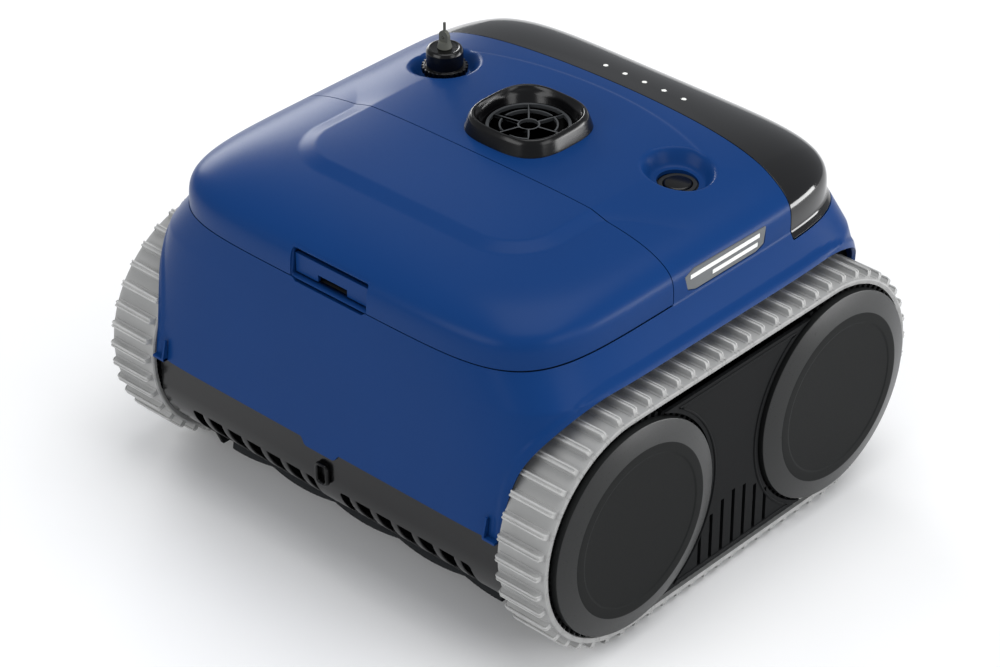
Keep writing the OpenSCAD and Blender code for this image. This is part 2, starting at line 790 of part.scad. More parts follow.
module gear(pos, teeth, phase, bore) {
  along_x(gear_x, gear_w) translate(pos) difference() {
    polygon(gear_points(teeth, phase));
    circle(r = bore);
  }
}

module drive_gear(side) {
  color("#c9c4b4") mirrored(side) gear([-axle_y, axle_z], bull_teeth, 0, sleeve_r);
}

module drive_pinion(side) {
  color("#c9c4b4") mirrored(side) {
    gear(pinion_pos, pinion_teeth, pinion_dir + 180 + 180 / pinion_teeth, 2.5);
    rod_x(tub_hx - 14, 14 + gear_x + gear_w - tub_hx, pinion_pos, 2.5);
  }
}

module drive_motor(side) {
  color("#34373a") mirrored(side) difference() {
    union() {
      rod_x(84, tub_hx - 3 - 84, pinion_pos, motor_r);
      rod_x(76, 8, pinion_pos, 6);
    }
    rod_x(tub_hx - 16, 20, pinion_pos, 2.5 + running);
  }
}

module track_wheel(side, end) {
  color("#1c1d1f") mirrored(side) translate([0, end * axle_y, axle_z]) difference() {
    union() {
      along_x(wheel_in_x, wheel_out_x - wheel_in_x) difference() {
        polygon([for (i = [0 : wheel_teeth - 1]) for (p = groove_points) let (a = i * 360 / wheel_teeth + p[0])
          p[1] * [cos(a), sin(a)]]);
        circle(r = wheel_r - 11);
      }
      along_x(wheel_in_x + 18, 5) difference() {
        circle(r = wheel_r - 8);
        for (a = [36 : 72 : 324]) rotate(a) translate([wheel_r * 0.54, 0]) circle(r = 15);
      }
      rod_x(wheel_in_x + 0.5, wheel_out_x - wheel_in_x - 0.5, [0, 0], sleeve_r + 6);
      rod_x(gear_x, wheel_in_x + 2 - gear_x, [0, 0], sleeve_r);
    }
    rod_x(0, 400, [0, 0], axle_r + running);
  }
}

groove_half = (3.4 + 1) / 2 / wheel_r * 180 / PI;
groove_points = [[-groove_half, wheel_r], [-groove_half * 0.78, wheel_r - tooth_h - 0.6],
                 [groove_half * 0.78, wheel_r - tooth_h - 0.6], [groove_half, wheel_r]];

module wheel_cover(side, end) {
  color("#262727") mirrored(side) translate([wheel_out_x, end * axle_y, axle_z]) rotate([0, 90, 0])
    difference() {
      rotate_extrude($fn = 96) polygon([
        [0, 0], [12, 0], [12, cover_x - wheel_out_x - 2.5], [cover_face_r - 1, cover_x - wheel_out_x - 2.5],
        [cover_r - 2.5, cover_side - 1.5], [cover_r - 2.5, 0], [cover_r, 0], [cover_r, cover_side],
        [cover_face_r, cover_x - wheel_out_x], [0, cover_x - wheel_out_x]]);
      translate([0, 0, -1]) cylinder(r = axle_r + 1, h = 4);
    }
}

module wheel_axles() {
  color("silver") for (side = [-1, 1]) mirrored(side) for (end = [-1, 1])
    rod_x(tub_hx - 8, wheel_out_x + 1.5 - tub_hx + 8, [end * axle_y, axle_z], axle_r);
}

module bearing_bushes() {
  color("#b08d57") for (side = [-1, 1]) mirrored(side) {
    for (end = [-1, 1]) translate([0, end * axle_y, axle_z]) difference() {
      rod_x(frame_in_x, frame_out_x - frame_in_x, [0, 0], sleeve_r + 3);
      rod_x(0, 300, [0, 0], sleeve_r + running);
    }
    translate([0, brush_pos[0], brush_pos[1]]) difference() {
      rod_x(tub_hx - 3, 3, [0, 0], brush_shaft_r + 2.5);
      rod_x(0, 300, [0, 0], brush_shaft_r + running);
    }
  }
}

// A point on the belt's path, s along it from the top of the front wheel, at radius r from its axis
function on_loop(s, r) =
  let (turn = 180 / half_loop, run = span_teeth * tooth_pitch,
       u = s < 0 ? s + loop_len : s >= loop_len ? s - loop_len : s)
    u < half_loop ? let (a = 90 + turn * u) [-axle_y + r * cos(a), axle_z + r * sin(a)]
    : u < half_loop + run ? [-axle_y + u - half_loop, axle_z - r]
    : u < 2 * half_loop + run ? let (a = turn * (u - half_loop - run) - 90)
        [axle_y + r * cos(a), axle_z + r * sin(a)]
    : [axle_y - (u - 2 * half_loop - run), axle_z + r];

// An outline that repeats the given steps [distance, radius] at each pitch
function loop_points(pitch, phase, steps) =
  [for (i = [0 : round(loop_len / pitch) - 1]) for (p = steps) on_loop((i + phase) * pitch + p[0], p[1])];

cleat_steps = [[-5.6, pitch_r + 0.7], [-3.7, belt_out_r], [-2.3, belt_out_r + cleat_h * 0.74],
               [-1.2, tip_r], [1.2, tip_r], [2.3, belt_out_r + cleat_h * 0.74], [3.7, belt_out_r],
               [5.6, pitch_r + 0.7]];
tooth_steps = [[-1.8, belt_in_r], [-1.3, belt_in_r - tooth_h], [1.3, belt_in_r - tooth_h], [1.8, belt_in_r],
               [3.8, pitch_r - 0.7]];

module track(side) {
  color("#969694") mirrored(side) {
    along_x(belt_in_x, belt_w) difference() {
      polygon(loop_points(tooth_pitch, 0, [[0, belt_out_r]]));
      polygon(loop_points(tooth_pitch, 0, [[0, belt_in_r]]));
    }
    along_x(belt_in_x + cleat_inset, belt_w - 2 * cleat_inset) difference() {
      polygon(loop_points(cleat_pitch, 0.75, cleat_steps));
      polygon(loop_points(tooth_pitch, 0, [[0, pitch_r + 0.3]]));
    }
    along_x(wheel_in_x + 1.5, wheel_out_x - wheel_in_x - 3) difference() {
      polygon(loop_points(tooth_pitch, 0, [[0, pitch_r - 0.3]]));
      polygon(loop_points(tooth_pitch, 0, tooth_steps));
    }
  }
}

module brush_roller() {
  color("#26282a") translate([0, brush_pos[0], brush_pos[1]]) {
    rod_x(-tub_hx, 2 * tub_hx + 2 + gear_w, [0, 0], brush_shaft_r);
    rod_x(-tub_hx + 8, 2 * tub_hx - 16, [0, 0], 20);
    for (a = [0 : 45 : 315]) rotate([a, 0, 0])
      translate([-tub_hx + 9, -1.5, 19]) cube([2 * tub_hx - 18, 3, brush_r - 19]);
  }
}

module brush_gear() {
  color("#c9c4b4") gear(brush_pos, brush_teeth, brush_dir + 180 + 180 / brush_teeth, brush_shaft_r);
}

// ---------------------------------------------------------------- filter bay

// Outline of the basket, rounded at the latch end to follow the shell
module basket_outline(inset) {
  intersection() {
    polygon(superellipse(shell_hx - 21 - inset, shell_hy - 21 - inset, plan_n, facets));
    translate([-bay_hx + inset, bay_front + inset])
      square([2 * (bay_hx - inset), bay_back - 4 - bay_front - 2 * inset]);
  }
}

module filter_basket() {
  color("#3b4046") difference() {
    union() {
      // Rim that rests on the shell's flange
      translate([0, 0, bay_rim]) linear_extrude(3) intersection() {
        polygon(superellipse(shell_hx - 10.5, shell_hy - 11, plan_n, facets));
        translate([-big / 2, -big]) square([big, big + bay_back]);
      }
      translate([0, 0, bay_floor]) linear_extrude(bay_rim + 1 - bay_floor) basket_outline(0);
    }
    translate([0, 0, bay_floor + 2.5]) linear_extrude(bay_rim) basket_outline(2.5);
    span([-throat[0] - 1, throat_y - throat[1] - 1, 0], [throat[0] + 1, throat_y + throat[1] + 1, bay_floor + 5]);
    // Screened windows in the front and back
    for (i = [-4 : 4]) translate([i * 25 - 9, 0, bay_floor + 12]) {
      translate([0, bay_back - 20, 0]) cube([18, 40, 60]);
      translate([0, bay_front - 10, 0]) cube([18, 20, 60]);
    }
    for (side = [-1, 1]) mirrored(side) rod_x(bay_hx - 6, 20, handle_pin, 2 + running);
  }
}

module basket_handle() {
  color("#6d7378") {
    for (side = [-1, 1]) mirrored(side) {
      rod_x(bay_hx - 5.5, 5.5, handle_pin, 2);
      span([bay_hx - 6.5, handle_pin[0] - 36, handle_pin[1] - 3], [bay_hx - 3.5, handle_pin[0] + 3, handle_pin[1] + 3]);
    }
    span([-bay_hx + 3.5, handle_pin[0] - 40, handle_pin[1] - 3], [bay_hx - 3.5, handle_pin[0] - 34, handle_pin[1] + 3]);
  }
}

module inlet_flap() {
  color("#5b6268") {
    span([-throat[0] + 0.6, throat_y - throat[1] + 0.6, flap_pin[1] - 0.8], [throat[0] - 0.6, flap_pin[0], flap_pin[1] + 0.8]);
    rod_x(-throat[0] - 1.5, 2 * throat[0] + 3, flap_pin, flap_pin_r);
  }
}

// ---------------------------------------------------------------- power and electronics

module dry_box() {
  color("#25282b") difference() {
    span([-120, -28, tub_z + 3], [120, 150, 128]);
    span([-117, -25, tub_z + 6], [117, 147, 125]);
  }
}

module battery_pack() {
  color("#2d5f8a") {
    for (i = [-3 : 3]) translate([i * 22, 62, tub_z + 20]) rotate([-90, 0, 0]) cylinder(r = 10.6, h = 72);
    for (y = [60, 130]) span([-78, y, tub_z + 6], [78, y + 6, tub_z + 32]);
  }
}

base_chassis();
front_skirt();
rear_skirt();
upper_shell();
rear_band();
side_frame(-1);  // side_frame_left
side_frame(1);  // side_frame_right
side_panel(-1);  // side_panel_left
side_panel(1);  // side_panel_right
filter_lid();
lid_hinge_arms();
lid_hinge_bracket();
lid_hinge_pins();
lid_latch();
lid_gasket();
indicator_lenses();
control_board();
outlet_bezel();
outlet_grille();
thruster_duct();
propeller();
propeller_shaft();
thruster_motor();
light_bezel(-1);  // light_bezel_left
light_bezel(1);  // light_bezel_right
light_bars(-1);  // light_bars_left
light_bars(1);  // light_bars_right
port_cap();
cap_seal();
cap_eyelet();
tether_pin();
charge_socket();
power_button();
button_seal();
battery_pack();
dry_box();
drive_motor(-1);  // drive_motor_left
drive_motor(1);  // drive_motor_right
drive_pinion(-1);  // drive_pinion_left
drive_pinion(1);  // drive_pinion_right
drive_gear(-1);  // drive_gear_left
drive_gear(1);  // drive_gear_right
track_wheel(-1, -1);  // track_wheel_front_left
track_wheel(1, -1);  // track_wheel_front_right
track_wheel(-1, 1);  // track_wheel_rear_left
track_wheel(1, 1);  // track_wheel_rear_right
wheel_cover(-1, -1);  // wheel_cover_front_left
wheel_cover(1, -1);  // wheel_cover_front_right
wheel_cover(-1, 1);  // wheel_cover_rear_left
wheel_cover(1, 1);  // wheel_cover_rear_right
wheel_axles();
track(-1);  // track_left
track(1);  // track_right
brush_roller();
brush_gear();
filter_basket();
basket_handle();
inlet_flap();
bearing_bushes();
screws();
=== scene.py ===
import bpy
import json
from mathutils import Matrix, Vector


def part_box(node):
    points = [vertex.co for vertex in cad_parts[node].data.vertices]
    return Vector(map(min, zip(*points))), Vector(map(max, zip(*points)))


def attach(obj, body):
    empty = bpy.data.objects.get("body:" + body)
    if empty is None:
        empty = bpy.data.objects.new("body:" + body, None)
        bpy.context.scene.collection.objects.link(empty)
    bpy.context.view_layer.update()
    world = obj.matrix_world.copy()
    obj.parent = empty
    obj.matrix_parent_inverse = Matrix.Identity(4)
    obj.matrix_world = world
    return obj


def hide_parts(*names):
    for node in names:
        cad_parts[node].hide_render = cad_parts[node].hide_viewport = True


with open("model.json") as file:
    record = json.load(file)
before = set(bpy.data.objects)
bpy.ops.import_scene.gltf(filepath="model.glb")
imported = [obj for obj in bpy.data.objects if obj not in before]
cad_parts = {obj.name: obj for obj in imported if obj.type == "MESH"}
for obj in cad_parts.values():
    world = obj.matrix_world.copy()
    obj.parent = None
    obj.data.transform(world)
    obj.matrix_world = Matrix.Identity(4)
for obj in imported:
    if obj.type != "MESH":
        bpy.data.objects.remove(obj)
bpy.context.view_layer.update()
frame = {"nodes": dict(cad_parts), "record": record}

# %% [markdown]
# # A tracked pool cleaner
# The machine is a moulded blue shell between two rubber tracks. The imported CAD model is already
# loaded above as a fixed frame of named bodies. This lesson dresses that frame: it rebuilds the
# large moulded skins with fine meshes, rounds the edges of the smaller parts, and gives every
# part a finish made of nodes. All lengths below are written in millimetres and turned to metres
# in one place, because a designer thinks of a wall as 3 and not as 0.003.

# %% Tools and units
import json
import math

import bmesh
import bpy
import numpy as np
from mathutils import Vector

MM = 0.001
HULL = "hull"
slot_of = {part["node"]: part["material_slot"] for part in frame["record"]["subparts"]}
body_of = {n: b for b, members in frame["record"]["behaviour"]["bodies"].items() for n in members}

# %% [markdown]
# ## Colours and nodes
# Colours are picked as sRGB hex values, the way a paint chart gives them. Blender's shaders work
# with linear light, so one function converts them. A second small function adds a node, sets it
# and links it, which keeps each finish readable as a list of what it is made of.

# %% Colour and node helpers
def linear(hex_colour):
    parts = [int(hex_colour[i:i + 2], 16) / 255 for i in (1, 3, 5)]
    return tuple(c / 12.92 if c <= 0.04045 else ((c + 0.055) / 1.055) ** 2.4 for c in parts) + (1.0,)


def add(tree, kind, inputs=None, **settings):
    node = tree.nodes.new(kind)
    for key, value in settings.items():
        setattr(node, key, value)
    for key, value in (inputs or {}).items():
        if isinstance(value, bpy.types.NodeSocket):
            tree.links.new(value, node.inputs[key])
        else:
            node.inputs[key].default_value = value
    return node


print("blue shell colour", [round(c, 3) for c in linear("#1f3f7c")])

# %% [markdown]
# ## A recipe for moulded plastic
# Nearly all of the machine is injection moulded. What tells one moulding from another is the
# steel it was cast against: a polished mould gives piano black, a spark-eroded one gives an even
# fine grain. So the recipe has a broad, weak change of tone from the flow of the melt, a grain of
# a real size in millimetres that becomes a bump, and a roughness that wanders a little with it.
# The grain of a real mould is near 0.1 mm. It is drawn a few times coarser where it has to show.

# %% Recipe for moulded parts
FLOW_MM = 70


def moulded(name, colour, roughness, grain_mm, relief_mm, tone=0.10, coat=0.0, ior=1.5, gloss=0.06):
    material = bpy.data.materials.new(name)
    material.use_nodes = True
    tree = material.node_tree
    shader = tree.nodes["Principled BSDF"]
    place = add(tree, "ShaderNodeTexCoord").outputs["Object"]
    flow = add(tree, "ShaderNodeTexNoise", {"Vector": place, "Scale": 1 / (FLOW_MM * MM), "Detail": 2.0})
    grain = add(tree, "ShaderNodeTexNoise", {"Vector": place, "Scale": 1 / (grain_mm * MM), "Detail": 3.0})
    base = linear(colour)
    darker = tuple(c * (1 - tone) for c in base[:3]) + (1.0,)
    lighter = tuple(min(1.0, c * (1 + tone)) for c in base[:3]) + (1.0,)
    blend = add(tree, "ShaderNodeMixRGB", {"Fac": flow.outputs["Fac"], "Color1": darker, "Color2": lighter})
    vary = add(tree, "ShaderNodeMapRange", {"Value": grain.outputs["Fac"], "From Min": 0.3, "From Max": 0.7,
                                            "To Min": roughness * 0.9, "To Max": min(1.0, roughness * 1.12)})
    bump = add(tree, "ShaderNodeBump", {"Height": grain.outputs["Fac"], "Distance": relief_mm * MM})
    shader.inputs["IOR"].default_value = ior
    shader.inputs["Specular IOR Level"].default_value = gloss
    shader.inputs["Coat Weight"].default_value = coat
    shader.inputs["Coat Roughness"].default_value = 0.04
    tree.links.new(blend.outputs["Color"], shader.inputs["Base Color"])
    tree.links.new(vary.outputs["Result"], shader.inputs["Roughness"])
    tree.links.new(bump.outputs["Normal"], shader.inputs["Normal"])
    return material


print("melt flow", FLOW_MM, "mm across")

# %% [markdown]
# ## The plastics
# The shell is ABS moulded against a fine satin steel: it keeps a soft, wide highlight that shows
# the crown of the form. The display band is ABS against a polished steel, so it mirrors the room.
# The base, the panels and the wheel covers are glass-filled polypropylene with a spark-eroded
# grain, which scatters light evenly and looks charcoal, not black.

# %% Plastics of the body
ABS_IOR, POLYCARBONATE_IOR = 1.53, 1.58
finish = {
    # satin steel: a soft highlight that is wide enough to show the crown
    "blue_shell": moulded("Satin_ABS_blue", "#10366c", 0.30, 0.6, 0.006, tone=0.04, ior=ABS_IOR, gloss=0.07),
    # polished steel: a mirror with the least ripple
    "black_band": moulded("Polished_ABS_black", "#070708", 0.10, 2.5, 0.002, tone=0.05, coat=0.12,
                          ior=ABS_IOR, gloss=0.4),
    # spark-eroded steel: an even grain that takes the shine off the edges
    "black_base": moulded("Grained_polypropylene_black", "#121314", 0.46, 0.7, 0.03),
    "cover_plastic": moulded("Grained_polypropylene_charcoal", "#1a1b1b", 0.5, 0.7, 0.02, tone=0.05),
    "wheel_plastic": moulded("Plain_polypropylene_black", "#0d0e0f", 0.6, 1.2, 0.04),
    # a half-polished steel: the trims glint along their rolled edges only
    "black_trim": moulded("Satin_ABS_black", "#070708", 0.2, 0.8, 0.004, tone=0.06, ior=ABS_IOR, gloss=0.28),
    "light_surround": moulded("Satin_ABS_grey", "#6e7071", 0.38, 0.8, 0.01, tone=0.05, ior=ABS_IOR),
    # frosted on the inside and smooth outside, so it is white with a thin gloss on top
    "light_diffuser": moulded("Frosted_polycarbonate_white", "#e9eae6", 0.28, 0.5, 0.01, 0.02, 0.3,
                              POLYCARBONATE_IOR),
    "eyelet_plastic": moulded("Glass_filled_nylon_grey", "#5d5e58", 0.4, 0.5, 0.03),
    # the inner parts are plain mouldings and coatings, seen only with the lid open or from below
    "gear_nylon": moulded("Natural_acetal", "#cfc9b4", 0.4, 1.5, 0.01),
    "board_green": moulded("Solder_resist_green", "#12492a", 0.3, 1.6, 0.02),
    "cell_wrap": moulded("Shrink_wrap_blue", "#1b5d92", 0.32, 6.0, 0.05),
    "basket_plastic": moulded("Filter_polypropylene_slate", "#34393e", 0.5, 0.9, 0.05),
}
diffuser = finish["light_diffuser"].node_tree.nodes["Principled BSDF"]
diffuser.inputs["Emission Color"].default_value = linear("#f2f2ee")
diffuser.inputs["Emission Strength"].default_value = 0.05
# the ribs of the grille are glossier than the bezel, and their grey colour is painted highlight, so they
# stand out of the dark duct
grille_gloss_and_painted_highlight = moulded("Satin_ABS_ribs_painted_highlight", "#3c3e40", 0.3, 0.8, 0.006, tone=0.05, gloss=0.5)
print("plastics", len(finish))

# %% [markdown]
# ## Track rubber
# The tracks are a light grey thermoplastic elastomer. It has no gloss at all. Its skin is dusty
# and slightly uneven, and the tips of the cleats, which scrub the pool, are a little paler and
# smoother than the belt between them. The mesh carries a value called tip, 0 on the belt and 1
# at the top of a cleat, and the finish uses it to place that wear.

# %% Track rubber finish
def rubber(name, colour, pale, roughness, grain_mm, relief_mm):
    material = bpy.data.materials.new(name)
    material.use_nodes = True
    tree = material.node_tree
    shader = tree.nodes["Principled BSDF"]
    shader.inputs["Specular IOR Level"].default_value = 0.25
    place = add(tree, "ShaderNodeTexCoord").outputs["Object"]
    dust = add(tree, "ShaderNodeTexNoise", {"Vector": place, "Scale": 1 / (18 * MM), "Detail": 5.0})
    grain = add(tree, "ShaderNodeTexNoise", {"Vector": place, "Scale": 1 / (grain_mm * MM), "Detail": 4.0})
    tip = add(tree, "ShaderNodeAttribute", attribute_name="tip").outputs["Fac"]
    worn = add(tree, "ShaderNodeMath", {0: tip, 1: dust.outputs["Fac"]}, operation="MULTIPLY")
    tone = add(tree, "ShaderNodeMixRGB", {"Fac": dust.outputs["Fac"], "Color1": linear(colour),
                                          "Color2": tuple(c * 1.16 for c in linear(colour)[:3]) + (1.0,)})
    scuff = add(tree, "ShaderNodeMixRGB", {"Fac": worn.outputs["Value"], "Color1": tone.outputs["Color"],
                                           "Color2": linear(pale)})
    rough = add(tree, "ShaderNodeMapRange", {"Value": worn.outputs["Value"], "To Min": roughness,
                                             "To Max": roughness - 0.15})
    bump = add(tree, "ShaderNodeBump", {"Height": grain.outputs["Fac"], "Distance": relief_mm * MM})
    tree.links.new(scuff.outputs["Color"], shader.inputs["Base Color"])
    tree.links.new(rough.outputs["Result"], shader.inputs["Roughness"])
    tree.links.new(bump.outputs["Normal"], shader.inputs["Normal"])
    return material


# pale, dusty and without gloss, scuffed lighter on the tips of the cleats
finish["track_rubber"] = rubber("Thermoplastic_rubber_grey", "#9a9a99", "#c4c4c2", 0.62, 0.5, 0.05)
# moulded silicone is dense and dark, with a dull sheen on its rims
finish["seal_rubber"] = rubber("Silicone_rubber_black", "#232425", "#3a3b3c", 0.55, 0.8, 0.02)
# open cells swallow the light, so the foam is the darkest and roughest surface of all
finish["brush_foam"] = rubber("Open_cell_foam_black", "#1d1f21", "#2b2d2f", 0.9, 1.4, 0.5)
print("soft finishes", [finish[slot].name for slot in ("track_rubber", "seal_rubber", "brush_foam")])

# %% [markdown]
# ## Metals
# Shafts, pins and screws are stainless steel, ground so that fine scratches run across the axis.
# The bushes are turned bronze. The motor cases are steel under a thin dark enamel. Metals keep
# the default IOR: their look comes from the metallic value, the colour and the scratches.

# %% Metal finishes
def metal(name, colour, roughness, scratch_mm, metallic=1.0):
    material = bpy.data.materials.new(name)
    material.use_nodes = True
    tree = material.node_tree
    shader = tree.nodes["Principled BSDF"]
    place = add(tree, "ShaderNodeTexCoord").outputs["Object"]
    along = add(tree, "ShaderNodeMapping", {"Vector": place, "Scale": (1.0, 0.08, 0.08)})
    lines = add(tree, "ShaderNodeTexNoise", {"Vector": along.outputs["Vector"], "Detail": 4.0,
                                             "Scale": 1 / (scratch_mm * MM)})
    stain = add(tree, "ShaderNodeTexNoise", {"Vector": place, "Scale": 1 / (12 * MM), "Detail": 3.0})
    tone = add(tree, "ShaderNodeMixRGB", {"Fac": stain.outputs["Fac"], "Color1": linear(colour),
                                          "Color2": tuple(c * 0.85 for c in linear(colour)[:3]) + (1.0,)})
    rough = add(tree, "ShaderNodeMapRange", {"Value": lines.outputs["Fac"], "To Min": roughness * 0.7,
                                             "To Max": roughness * 1.4})
    bump = add(tree, "ShaderNodeBump", {"Height": lines.outputs["Fac"], "Distance": 0.01 * MM})
    shader.inputs["Metallic"].default_value = metallic
    tree.links.new(tone.outputs["Color"], shader.inputs["Base Color"])
    tree.links.new(rough.outputs["Result"], shader.inputs["Roughness"])
    tree.links.new(bump.outputs["Normal"], shader.inputs["Normal"])
    return material


# ground steel: one bright streak along the shaft that breaks up into fine lines
finish["shaft_steel"] = metal("Ground_stainless_steel", "#b9bcbe", 0.28, 0.3)
# turned bronze: warmer, with slightly wider tool marks
finish["bush_bronze"] = metal("Turned_bronze", "#a9793f", 0.32, 0.4)
# the enamel hides the steel, so metallic is 0 and only a satin coat is seen
finish["motor_case"] = metal("Enamelled_steel_graphite", "#2c3033", 0.4, 1.0, metallic=0.0)
for name, node in frame["nodes"].items():
    node.data.materials.clear()
    node.data.materials.append(finish[slot_of[name]])
print("finishes", len(finish))

# %% [markdown]
# ## Making a piece
# Every new piece follows the same short path: points in millimetres become a mesh in metres, a
# Solidify modifier gives a skin its real wall, and a Bevel modifier rounds the rims of that wall,
# because no moulding has a knife edge and it is the rounded rim that catches the light. The piece
# then rides on its body and takes the place of the CAD node it stands for.

# %% Piece helper
def piece(name, points, faces, body, slot, nodes=(), wall=0.0, edge=0.0, steps=2, angle=40):
    mesh = bpy.data.meshes.new(name)
    mesh.from_pydata((np.asarray(points, float) * MM).tolist(), [], [list(map(int, f)) for f in faces])
    mesh.validate()
    mesh.shade_smooth()
    obj = bpy.data.objects.new(name, mesh)
    bpy.context.scene.collection.objects.link(obj)
    mesh.materials.append(finish[slot])
    if wall:
        skin_wall = obj.modifiers.new("wall", "SOLIDIFY")
        skin_wall.thickness = wall * MM
        skin_wall.offset = -1
        skin_wall.use_even_offset = True
    if edge:
        rim = obj.modifiers.new("rim", "BEVEL")
        rim.width = edge * MM
        rim.segments = steps
        rim.limit_method = "ANGLE"
        rim.angle_limit = math.radians(angle)
        rim.harden_normals = True
    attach(obj, body)
    if nodes:
        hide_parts(*nodes)
    print(name, len(mesh.vertices), "points")
    return obj


print("a point at 1000 mm lands at", 1000 * MM, "m")

# %% [markdown]
# ## The form of the shell
# In plan the body is a superellipse, a square with full, springy corners. The same kind of curve,
# turned on its side, gives the crown: nearly flat in the middle and quick at the shoulder. Below
# the seam the section widens to the fenders and leans forward at the nose. One set of rings
# carries the whole form, and each moulding is then cut out of that one skin, so that the lid,
# the shell and the display band meet without a step.

# %% Rings of the form
SEAM_Z, TOP_Z, BOTTOM_Z, LIP_Z = 225.0, 272.0, 104.0, 200.0
LOW_Z, LOW_RINGS, CROWN_RINGS = 97.5, 76, 138
HALF_X, HALF_Y, PLAN_N, CROWN_M = 183.0, 184.0, 5.8, 3.7
FENDER_X, LEAN = 200.0, 13.5
AROUND = 760


def oval(half_x, half_y, power):
    u = np.linspace(0, 0.5 ** (1 / power), 1500)
    v = (1 - u ** power) ** (1 / power)
    line = np.concatenate([np.stack([v, u], 1), np.stack([u, v], 1)[-2::-1]]) * (half_x, half_y)
    run = np.concatenate([[0], np.cumsum(np.linalg.norm(np.diff(line, axis=0), axis=1))])
    at = (np.arange(AROUND // 4) + 0.5) / (AROUND // 4) * run[-1]
    part = np.stack([np.interp(at, run, line[:, 0]), np.interp(at, run, line[:, 1])], 1)
    return np.concatenate([part, part[::-1] * (-1, 1), -part, part[::-1] * (1, -1)])


def low_section(z):
    if z >= LIP_Z:
        t = (z - LIP_Z) / (SEAM_Z - LIP_Z)
        return (FENDER_X + (HALF_X - FENDER_X) * t, HALF_Y + 3 - 3 * t, 6.5 + (PLAN_N - 6.5) * t)
    t = (z - BOTTOM_Z) / (LIP_Z - BOTTOM_Z)
    return (FENDER_X, HALF_Y + LEAN + (3 - LEAN) * t, 12 + (6.5 - 12) * t)


turn = np.linspace(0, math.pi / 2, 4001)
profile = np.stack([HALF_X * np.cos(turn) ** (2 / CROWN_M),
                    (TOP_Z - SEAM_Z) * np.sin(turn) ** (2 / CROWN_M)], 1)
run = np.concatenate([[0], np.cumsum(np.linalg.norm(np.diff(profile, axis=0), axis=1))])
crown_turns = np.interp(np.linspace(0, run[-1] - 12, CROWN_RINGS), run, turn)
print("rings on the crown", CROWN_RINGS, "spacing", round(run[-1] / CROWN_RINGS, 2), "mm")

# %% [markdown]
# ## The raised panel on top
# The middle of the top stands 3 mm proud. Its edge is a sloping band 12 mm wide that runs in a
# U across the lid and fades out on its way back to the two dishes, and at the rear it ends in a
# thin step in front of the display band. It is written as a distance from the panel's outline,
# so the slope has the same width everywhere, round the corners too.

# %% Raised panel
PANEL_X, PANEL_FRONT, PANEL_R, PANEL_DROP, SLOPE = 107.0, -108.0, 34.0, 3.0, 12.0
DISH_X, DISH_Y, DISH_R, DISH_DEEP, HOLE_R = 113.5, 53.0, 26.5, 12.0, 15.2


def smooth(t):
    t = np.clip(t, 0, 1)
    return t * t * (3 - 2 * t)


def panel_distance(x, y):
    qx, qy = np.abs(x) - (PANEL_X - PANEL_R), (PANEL_FRONT + PANEL_R) - y
    front = np.hypot(np.maximum(qx, 0), np.maximum(qy, 0)) + np.minimum(np.maximum(qx, qy), 0) - PANEL_R
    return front, y - (100.5 - 0.00183 * x * x)


def top_drop(x, y, z):
    side, rear = panel_distance(x, y)
    width = SLOPE + 46 * smooth((y + 42) / 60)
    down = PANEL_DROP * np.clip(side / width, 0, 1)
    back = 1.3 * smooth(rear / 4) + 0.8 * smooth((rear - 4) / 30)
    across = np.hypot(np.abs(x) - DISH_X, y - DISH_Y)
    funnel = DISH_DEEP * smooth((DISH_R + 1.5 - across) / (DISH_R - HOLE_R - 1.5))
    return -np.maximum(down, back) * smooth((z - 236) / 24) - funnel


def top_z(x, y):
    flat = (np.abs(x / HALF_X) ** PLAN_N + np.abs(y / HALF_Y) ** PLAN_N) ** (CROWN_M / PLAN_N)
    z = SEAM_Z + (TOP_Z - SEAM_Z) * np.clip(1 - flat, 0, 1) ** (1 / CROWN_M)
    return z + top_drop(x, y, z)


rings = []
for z in np.linspace(LOW_Z, SEAM_Z, LOW_RINGS + 1)[:-1]:
    half_x, half_y, power = low_section(z)
    rings.append(np.column_stack([oval(half_x, half_y, power), np.full(AROUND, z)]))
for t in crown_turns:
    w, rise = math.cos(t) ** (2 / CROWN_M), math.sin(t) ** (2 / CROWN_M)
    flat = oval(HALF_X * w, HALF_Y * w, PLAN_N)
    z = np.full(AROUND, SEAM_Z + (TOP_Z - SEAM_Z) * rise)
    rings.append(np.column_stack([flat, z + top_drop(flat[:, 0], flat[:, 1], z)]))
form_points = np.concatenate(rings)
row, col = np.meshgrid(np.arange(len(rings) - 1), np.arange(AROUND), indexing="ij")
nxt = (col + 1) % AROUND
form_faces = np.stack([row * AROUND + col, row * AROUND + nxt, (row + 1) * AROUND + nxt,
                       (row + 1) * AROUND + col], -1).reshape(-1, 4)
print("form", form_points.shape, form_faces.shape)

# %% [markdown]
# ## Normals at the points
# The cuts and the beads both need to know which way the skin faces. The normal at a point is the
# mean of the normals of the faces round it, each weighted by its area.

# %% Vertex normals
def vertex_normals(points, faces):
    p = points[faces]
    n = np.cross(p[:, 2] - p[:, 0], p[:, 3] - p[:, 1])
    total = np.zeros_like(points)
    for k in range(4):
        np.add.at(total, faces[:, k], n)
    return total / np.maximum(np.linalg.norm(total, axis=1), 1e-12)[:, None]


crown_up = vertex_normals(form_points, form_faces)[:, 2]
print("points that face up", int((crown_up > 0.9).sum()), "of", len(crown_up))

# %% [markdown]
# ## Cutting a moulding out of the form
# A boolean would leave slivers along each cut, and a bevel fails on slivers. Instead each cut is
# a function that is positive on the part to keep. Points that lie almost on the line are slid
# onto it first, faces on the far side go, and the few faces that cross are clipped. The rim that
# is left is clean enough to take a wall and a rounded edge.

